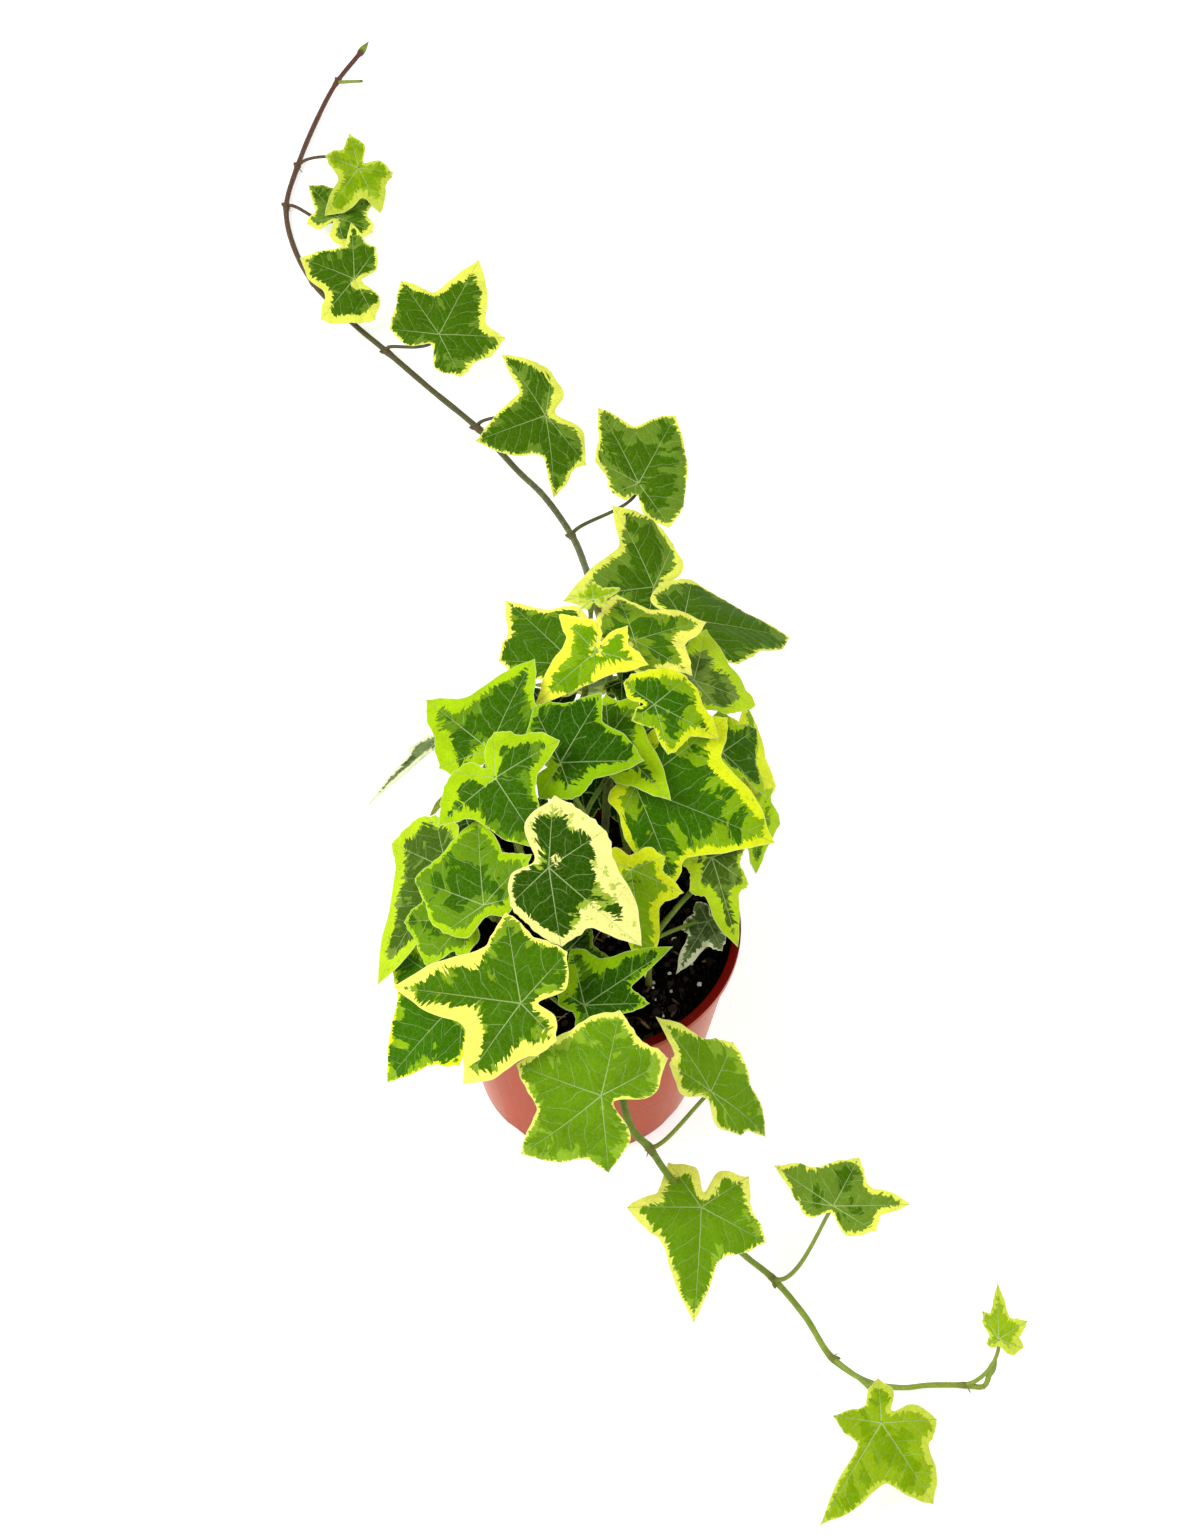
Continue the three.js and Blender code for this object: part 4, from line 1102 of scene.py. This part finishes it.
def temporary(surface):
    """A bare object for a surface, in mm, that a Boolean reads and that is then removed."""
    mesh = bpy.data.meshes.new("temporary")
    ends = np.cumsum(surface.sizes)
    faces = np.split(surface.corners, ends[:-1])
    mesh.from_pydata(surface.verts.tolist(), [], [face.tolist() for face in faces])
    thing = bpy.data.objects.new("temporary", mesh)
    bpy.context.scene.collection.objects.link(thing)
    return thing


def pot_body():
    """The pot's shell, turned from its profile: up the inside, over the lip and down the wall."""
    corners = [
        (0, FLOOR, 0), (BASE_RADIUS - WALL, FLOOR, 1.5), (LIP_INSIDE, UNDER_LIP, 2),
        (LIP_INSIDE, POT_HEIGHT, 0.7), (RIM_RADIUS, POT_HEIGHT, 1), (RIM_RADIUS, UNDER_LIP, 0.6),
        (inner_radius(UNDER_LIP) + WALL, UNDER_LIP, 0.3), (BASE_RADIUS, 0, 0.8), (0, 0, 0),
    ]
    return closed(turned(rounded(corners), TURNED_COLUMNS))[0]


def drain(out):
    """An upright round bar that cuts one drain hole, out along a direction."""
    profile = np.array([(0, 9), (DRAIN_RADIUS, 9), (DRAIN_RADIUS, -5), (0, -5)])
    return closed(turned(profile, 32) + out * DRAIN_CIRCLE)[0]


def groove(out):
    """A bar that cuts one groove: an ellipse swept from the drain's middle to beyond the base."""
    angle = np.linspace(0, 2 * np.pi, 16, endpoint=False)[:, None]
    across, up = np.array([-out[1], out[0], 0]), np.array([0, 0, 1])
    slot = np.cos(angle) * GROOVE_WIDTH / 2 * across + np.sin(angle) * GROOVE_HEIGHT * up
    reach = np.array([DRAIN_CIRCLE, DRAIN_CIRCLE, BASE_RADIUS + 5, BASE_RADIUS + 5])
    size = np.array([0, 1, 1, 0])
    grid = reach[:, None, None] * out + size[:, None, None] * slot
    return closed(grid[::-1])[0]


def less(body, surface):
    """A surface taken away from a temporary object by an exact Boolean, applied at once."""
    tool = temporary(surface)
    modifier = body.modifiers.new("cut", "BOOLEAN")
    modifier.operation = "DIFFERENCE"
    modifier.solver = "EXACT"
    modifier.object = tool
    graph = bpy.context.evaluated_depsgraph_get()
    mesh = bpy.data.meshes.new_from_object(body.evaluated_get(graph))
    body.modifiers.clear()
    body.data = mesh
    bpy.data.objects.remove(tool)


def pot_surface():
    """The pot's shell less its drains and the grooves under them, read back from the Booleans."""
    body = temporary(pot_body())
    for number in range(DRAIN_COUNT):
        turn = np.radians(DRAIN_TURN + 360 / DRAIN_COUNT * number)
        out = np.array([np.cos(turn), np.sin(turn), 0])
        less(body, drain(out))
        less(body, groove(out))
    mesh = body.data
    verts = np.empty(len(mesh.vertices) * 3)
    corners = np.empty(len(mesh.loops), int)
    sizes = np.empty(len(mesh.polygons), int)
    mesh.vertices.foreach_get("co", verts)
    mesh.loops.foreach_get("vertex_index", corners)
    mesh.polygons.foreach_get("loop_total", sizes)
    bpy.data.objects.remove(body)
    return Surface(verts.reshape(-1, 3), corners, sizes)


def soil_height(x, y):
    """The potting mix's top: the CAD model's swell, with lumps of three sizes on it."""
    swell = np.sin(SOIL_WAVE_X * x + 1) * np.cos(SOIL_WAVE_Y * y) * np.cos(SOIL_SWELL * x)
    lumps = sum(height * noise(x, y, size, seed) for height, size, seed in SOIL_LUMPS)
    return SOIL_TOP + SOIL_RELIEF * swell + lumps


def soil_surface():
    """The potting mix: the lumpy top in polar rings, then the cone down the pot's wall."""
    angle = np.linspace(0, 2 * np.pi, TURNED_COLUMNS, endpoint=False)
    share = np.linspace(0, 1, 90)[:, None]
    radius = share * (inner_radius(SOIL_TOP) - GAP)
    x, y = radius * np.cos(angle), radius * np.sin(angle)
    top = np.stack([x, y, soil_height(x, y)], axis=-1)
    sides = np.array([(inner_radius(z) - GAP, z) for z in (90, 60, 30, FLOOR + GAP)])
    lower = turned(np.vstack([sides, (0, FLOOR + GAP)]), TURNED_COLUMNS)
    return closed(np.concatenate([top, lower]))[0]


def grains(centres, sizes, dice):
    """Rough grains: rings of a ball, each vertex moved in or out at random, stretched by its three
    sizes, turned about two axes and set at its place."""
    lat = np.linspace(0, np.pi, 5)[:, None]
    lon = np.linspace(0, 2 * np.pi, 7, endpoint=False)
    ring = np.sin(lat)
    ball = np.stack([ring * np.cos(lon), ring * np.sin(lon), np.cos(lat) + 0 * lon], axis=-1)
    one = closed(ball)[0]
    count, points = len(centres), len(one.verts)
    shape = one.verts * dice.uniform(0.7, 1.2, (count, points, 1)) * sizes[:, None]
    for axis, spread in ((1, 0.5), (2, np.pi)):
        turn = dice.uniform(-spread, spread, (count, 1))
        a, b = shape[..., (axis + 1) % 3], shape[..., (axis + 2) % 3]
        rotated = a * np.cos(turn) - b * np.sin(turn), a * np.sin(turn) + b * np.cos(turn)
        shape[..., (axis + 1) % 3], shape[..., (axis + 2) % 3] = rotated
    corners = one.corners + points * np.arange(count)[:, None]
    return Surface(
        (centres[:, None] + shape).reshape(-1, 3),
        corners.ravel(),
        np.tile(one.sizes, count),
        {"tint": np.repeat(dice.random(count), points)},
    )


def on_soil(count, reach, sink, dice):
    """Places spread evenly over the potting mix out to a radius, a little sunk into it."""
    radius, turn = reach * np.sqrt(dice.random(count)), dice.uniform(0, 2 * np.pi, count)
    x, y = radius * np.cos(turn), radius * np.sin(turn)
    return np.stack([x, y, soil_height(x, y) - sink], axis=-1)


def sizes_between(low, high, flatness, count, dice):
    """Three half sizes for each grain, with more small grains than large ones."""
    size = low + (high - low) * dice.random((count, 1)) ** 2.5
    return size * np.array(flatness) * dice.uniform(0.75, 1.25, (count, 3))


def dry_roots(dice, count=14):
    """Pale dry root threads: short curved lines lying on the potting mix."""
    threads = []
    for _ in range(count):
        start = on_soil(1, 50, 0, dice)[0]
        turn, bend = dice.uniform(0, 2 * np.pi), dice.uniform(-1.6, 1.6)
        t = np.linspace(0, 1, 12)
        reach = dice.uniform(5, 16)
        x = start[0] + reach * (t * np.cos(turn) - bend * t**2 * 0.5 * np.sin(turn))
        y = start[1] + reach * (t * np.sin(turn) + bend * t**2 * 0.5 * np.cos(turn))
        if np.hypot(x, y).max() < MIX_REACH:
            z = soil_height(x, y) + 0.15 + 1.4 * np.sin(np.pi * t) * dice.uniform(0, 1)
            path = np.stack([x, y, z], axis=-1)
            thread = tube(path, 0.34 - 0.22 * t, 5, t, t)
            thread.points = {"tint": thread.points["age"]}
            threads.append(thread)
    return Surface.joined(threads)


# ---------------------------------------------------------------- making

leaf_skin = leaf_finish()
stem_skin = stem_finish()
rootlet_dice = np.random.default_rng(12)

number = 0
for shoot in SHOOTS:
    stems, blades = stem_surfaces(shoot, rootlet_dice), []
    for spec in shoot["leaves"]:
        number += 1
        blades.append(blade(spec, number))
        stems.append(petiole(shoot, spec))
    stems += [stub_surface(shoot, *stub) for stub in shoot["stubs"]] + [tip_bud(shoot)]
    name = shoot["name"]
    put(name + "_leaves", Surface.joined(blades), leaf_skin, "ivy", name)
    put(name + "_stem", Surface.joined(stems), stem_skin, "ivy", name)

put("pot_shell", pot_surface(), pot_finish(), "pot_plastic", "pot")
put("potting_mix", soil_surface(), soil_finish(), "potting_mix", "soil")

# Loose grains on the mix: the piece, then the smallest and largest half size, flatness and count,
# then how far out they lie and how deep they are sunk, and the finish: name, dark and pale colour
# and bumpiness.
GRAINS = (
    ("peat_crumbs", (0.35, 2.2, (1, 1, 0.7), 900), (54, 0),
        ("peat_crumb", (5, 4, 3), (44, 30, 20), 0.6)),
    ("perlite", (0.35, 1.1, (1, 1, 0.8), 60), (53, -0.2),
        ("perlite_grain", (168, 164, 154), (244, 243, 238), 0.4)),
    ("bark_slivers", (1.8, 5.0, (1, 0.25, 0.2), 34), (50, -0.3),
        ("bark", (58, 36, 22), (150, 108, 70), 0.6)),
)

dice = np.random.default_rng(7)
grain_sizes = [sizes_between(*sizing, dice) for _, sizing, _, _ in GRAINS]
for (name, _, (reach, sink), skin), sizes in zip(GRAINS, grain_sizes):
    centres = on_soil(len(sizes), reach, sink, dice)
    put(name, grains(centres, sizes, dice), grain_finish(*skin), "potting_mix")
thread_skin = grain_finish("dry_root", (150, 118, 78), (196, 168, 120), 0.2)
put("dry_roots", dry_roots(dice), thread_skin, "potting_mix")

# ---------------------------------------------------------------- floor, light and camera

# Metres, degrees and, for the lens, the photograph's height and focal length in its own pixels.
FLOOR_HALF = 14.0
FLOOR_GLOW = 0.56
STUDIO_LIGHT = 0.58
AIM = (0, 0.1, 0.05)
CAMERA_PLACE = (0.0056, -0.6428, 1.0626)
CAMERA_TILT = 36.7
SENSOR = 36
PHOTO_HEIGHT = 1536
PHOTO_FOCAL_LENGTH = 3000


def floor():
    """A plain pale floor: a large flat square that the pot stands on, with a faint glow."""
    mesh = bpy.data.meshes.new("floor")
    corners = [(-1, -1), (1, -1), (1, 1), (-1, 1)]
    mesh.from_pydata([(x * FLOOR_HALF, y * FLOOR_HALF, 0) for x, y in corners], [], [range(4)])
    pale = {"Base Color": (0.8, 0.8, 0.8, 1), "Roughness": 0.9, "Specular IOR Level": 0.1}
    glow = {"Emission Color": (1, 1, 1, 1), "Emission Strength": FLOOR_GLOW}
    mesh.materials.append(Finish("floor", pale | glow).material)
    piece = bpy.data.objects.new("floor", mesh)
    bpy.context.scene.collection.objects.link(piece)


def soft_light(name, place, size, power):
    """A square area light at a place, facing the plant."""
    data = bpy.data.lights.new(name, "AREA")
    data.size = size
    data.energy = power
    lamp = bpy.data.objects.new(name, data)
    lamp.location = place
    x, y, z = np.array(AIM) - np.array(place)
    lamp.rotation_euler = (np.pi / 2 + np.arctan2(z, np.hypot(x, y)), 0, np.arctan2(-x, y))
    bpy.context.scene.collection.objects.link(lamp)


floor()
soft_light("key", (-1.1, -0.3, 1.6), 0.9, 22)
soft_light("fill", (1.1, -0.4, 1.5), 1.6, 6)

world = bpy.data.worlds.new("studio")
world.use_nodes = True
background = world.node_tree.nodes["Background"].inputs
background["Color"].default_value = (1, 1, 1, 1)
background["Strength"].default_value = STUDIO_LIGHT
bpy.context.scene.world = world

camera_data = bpy.data.cameras.new("camera")
camera_data.sensor_width = SENSOR
camera_data.lens = SENSOR * PHOTO_FOCAL_LENGTH / PHOTO_HEIGHT
camera = bpy.data.objects.new("camera", camera_data)
camera.location = CAMERA_PLACE
camera.rotation_euler = (np.radians(CAMERA_TILT), 0, 0)
bpy.context.scene.collection.objects.link(camera)
bpy.context.scene.camera = camera
bpy.context.scene.view_settings.view_transform = "Standard"
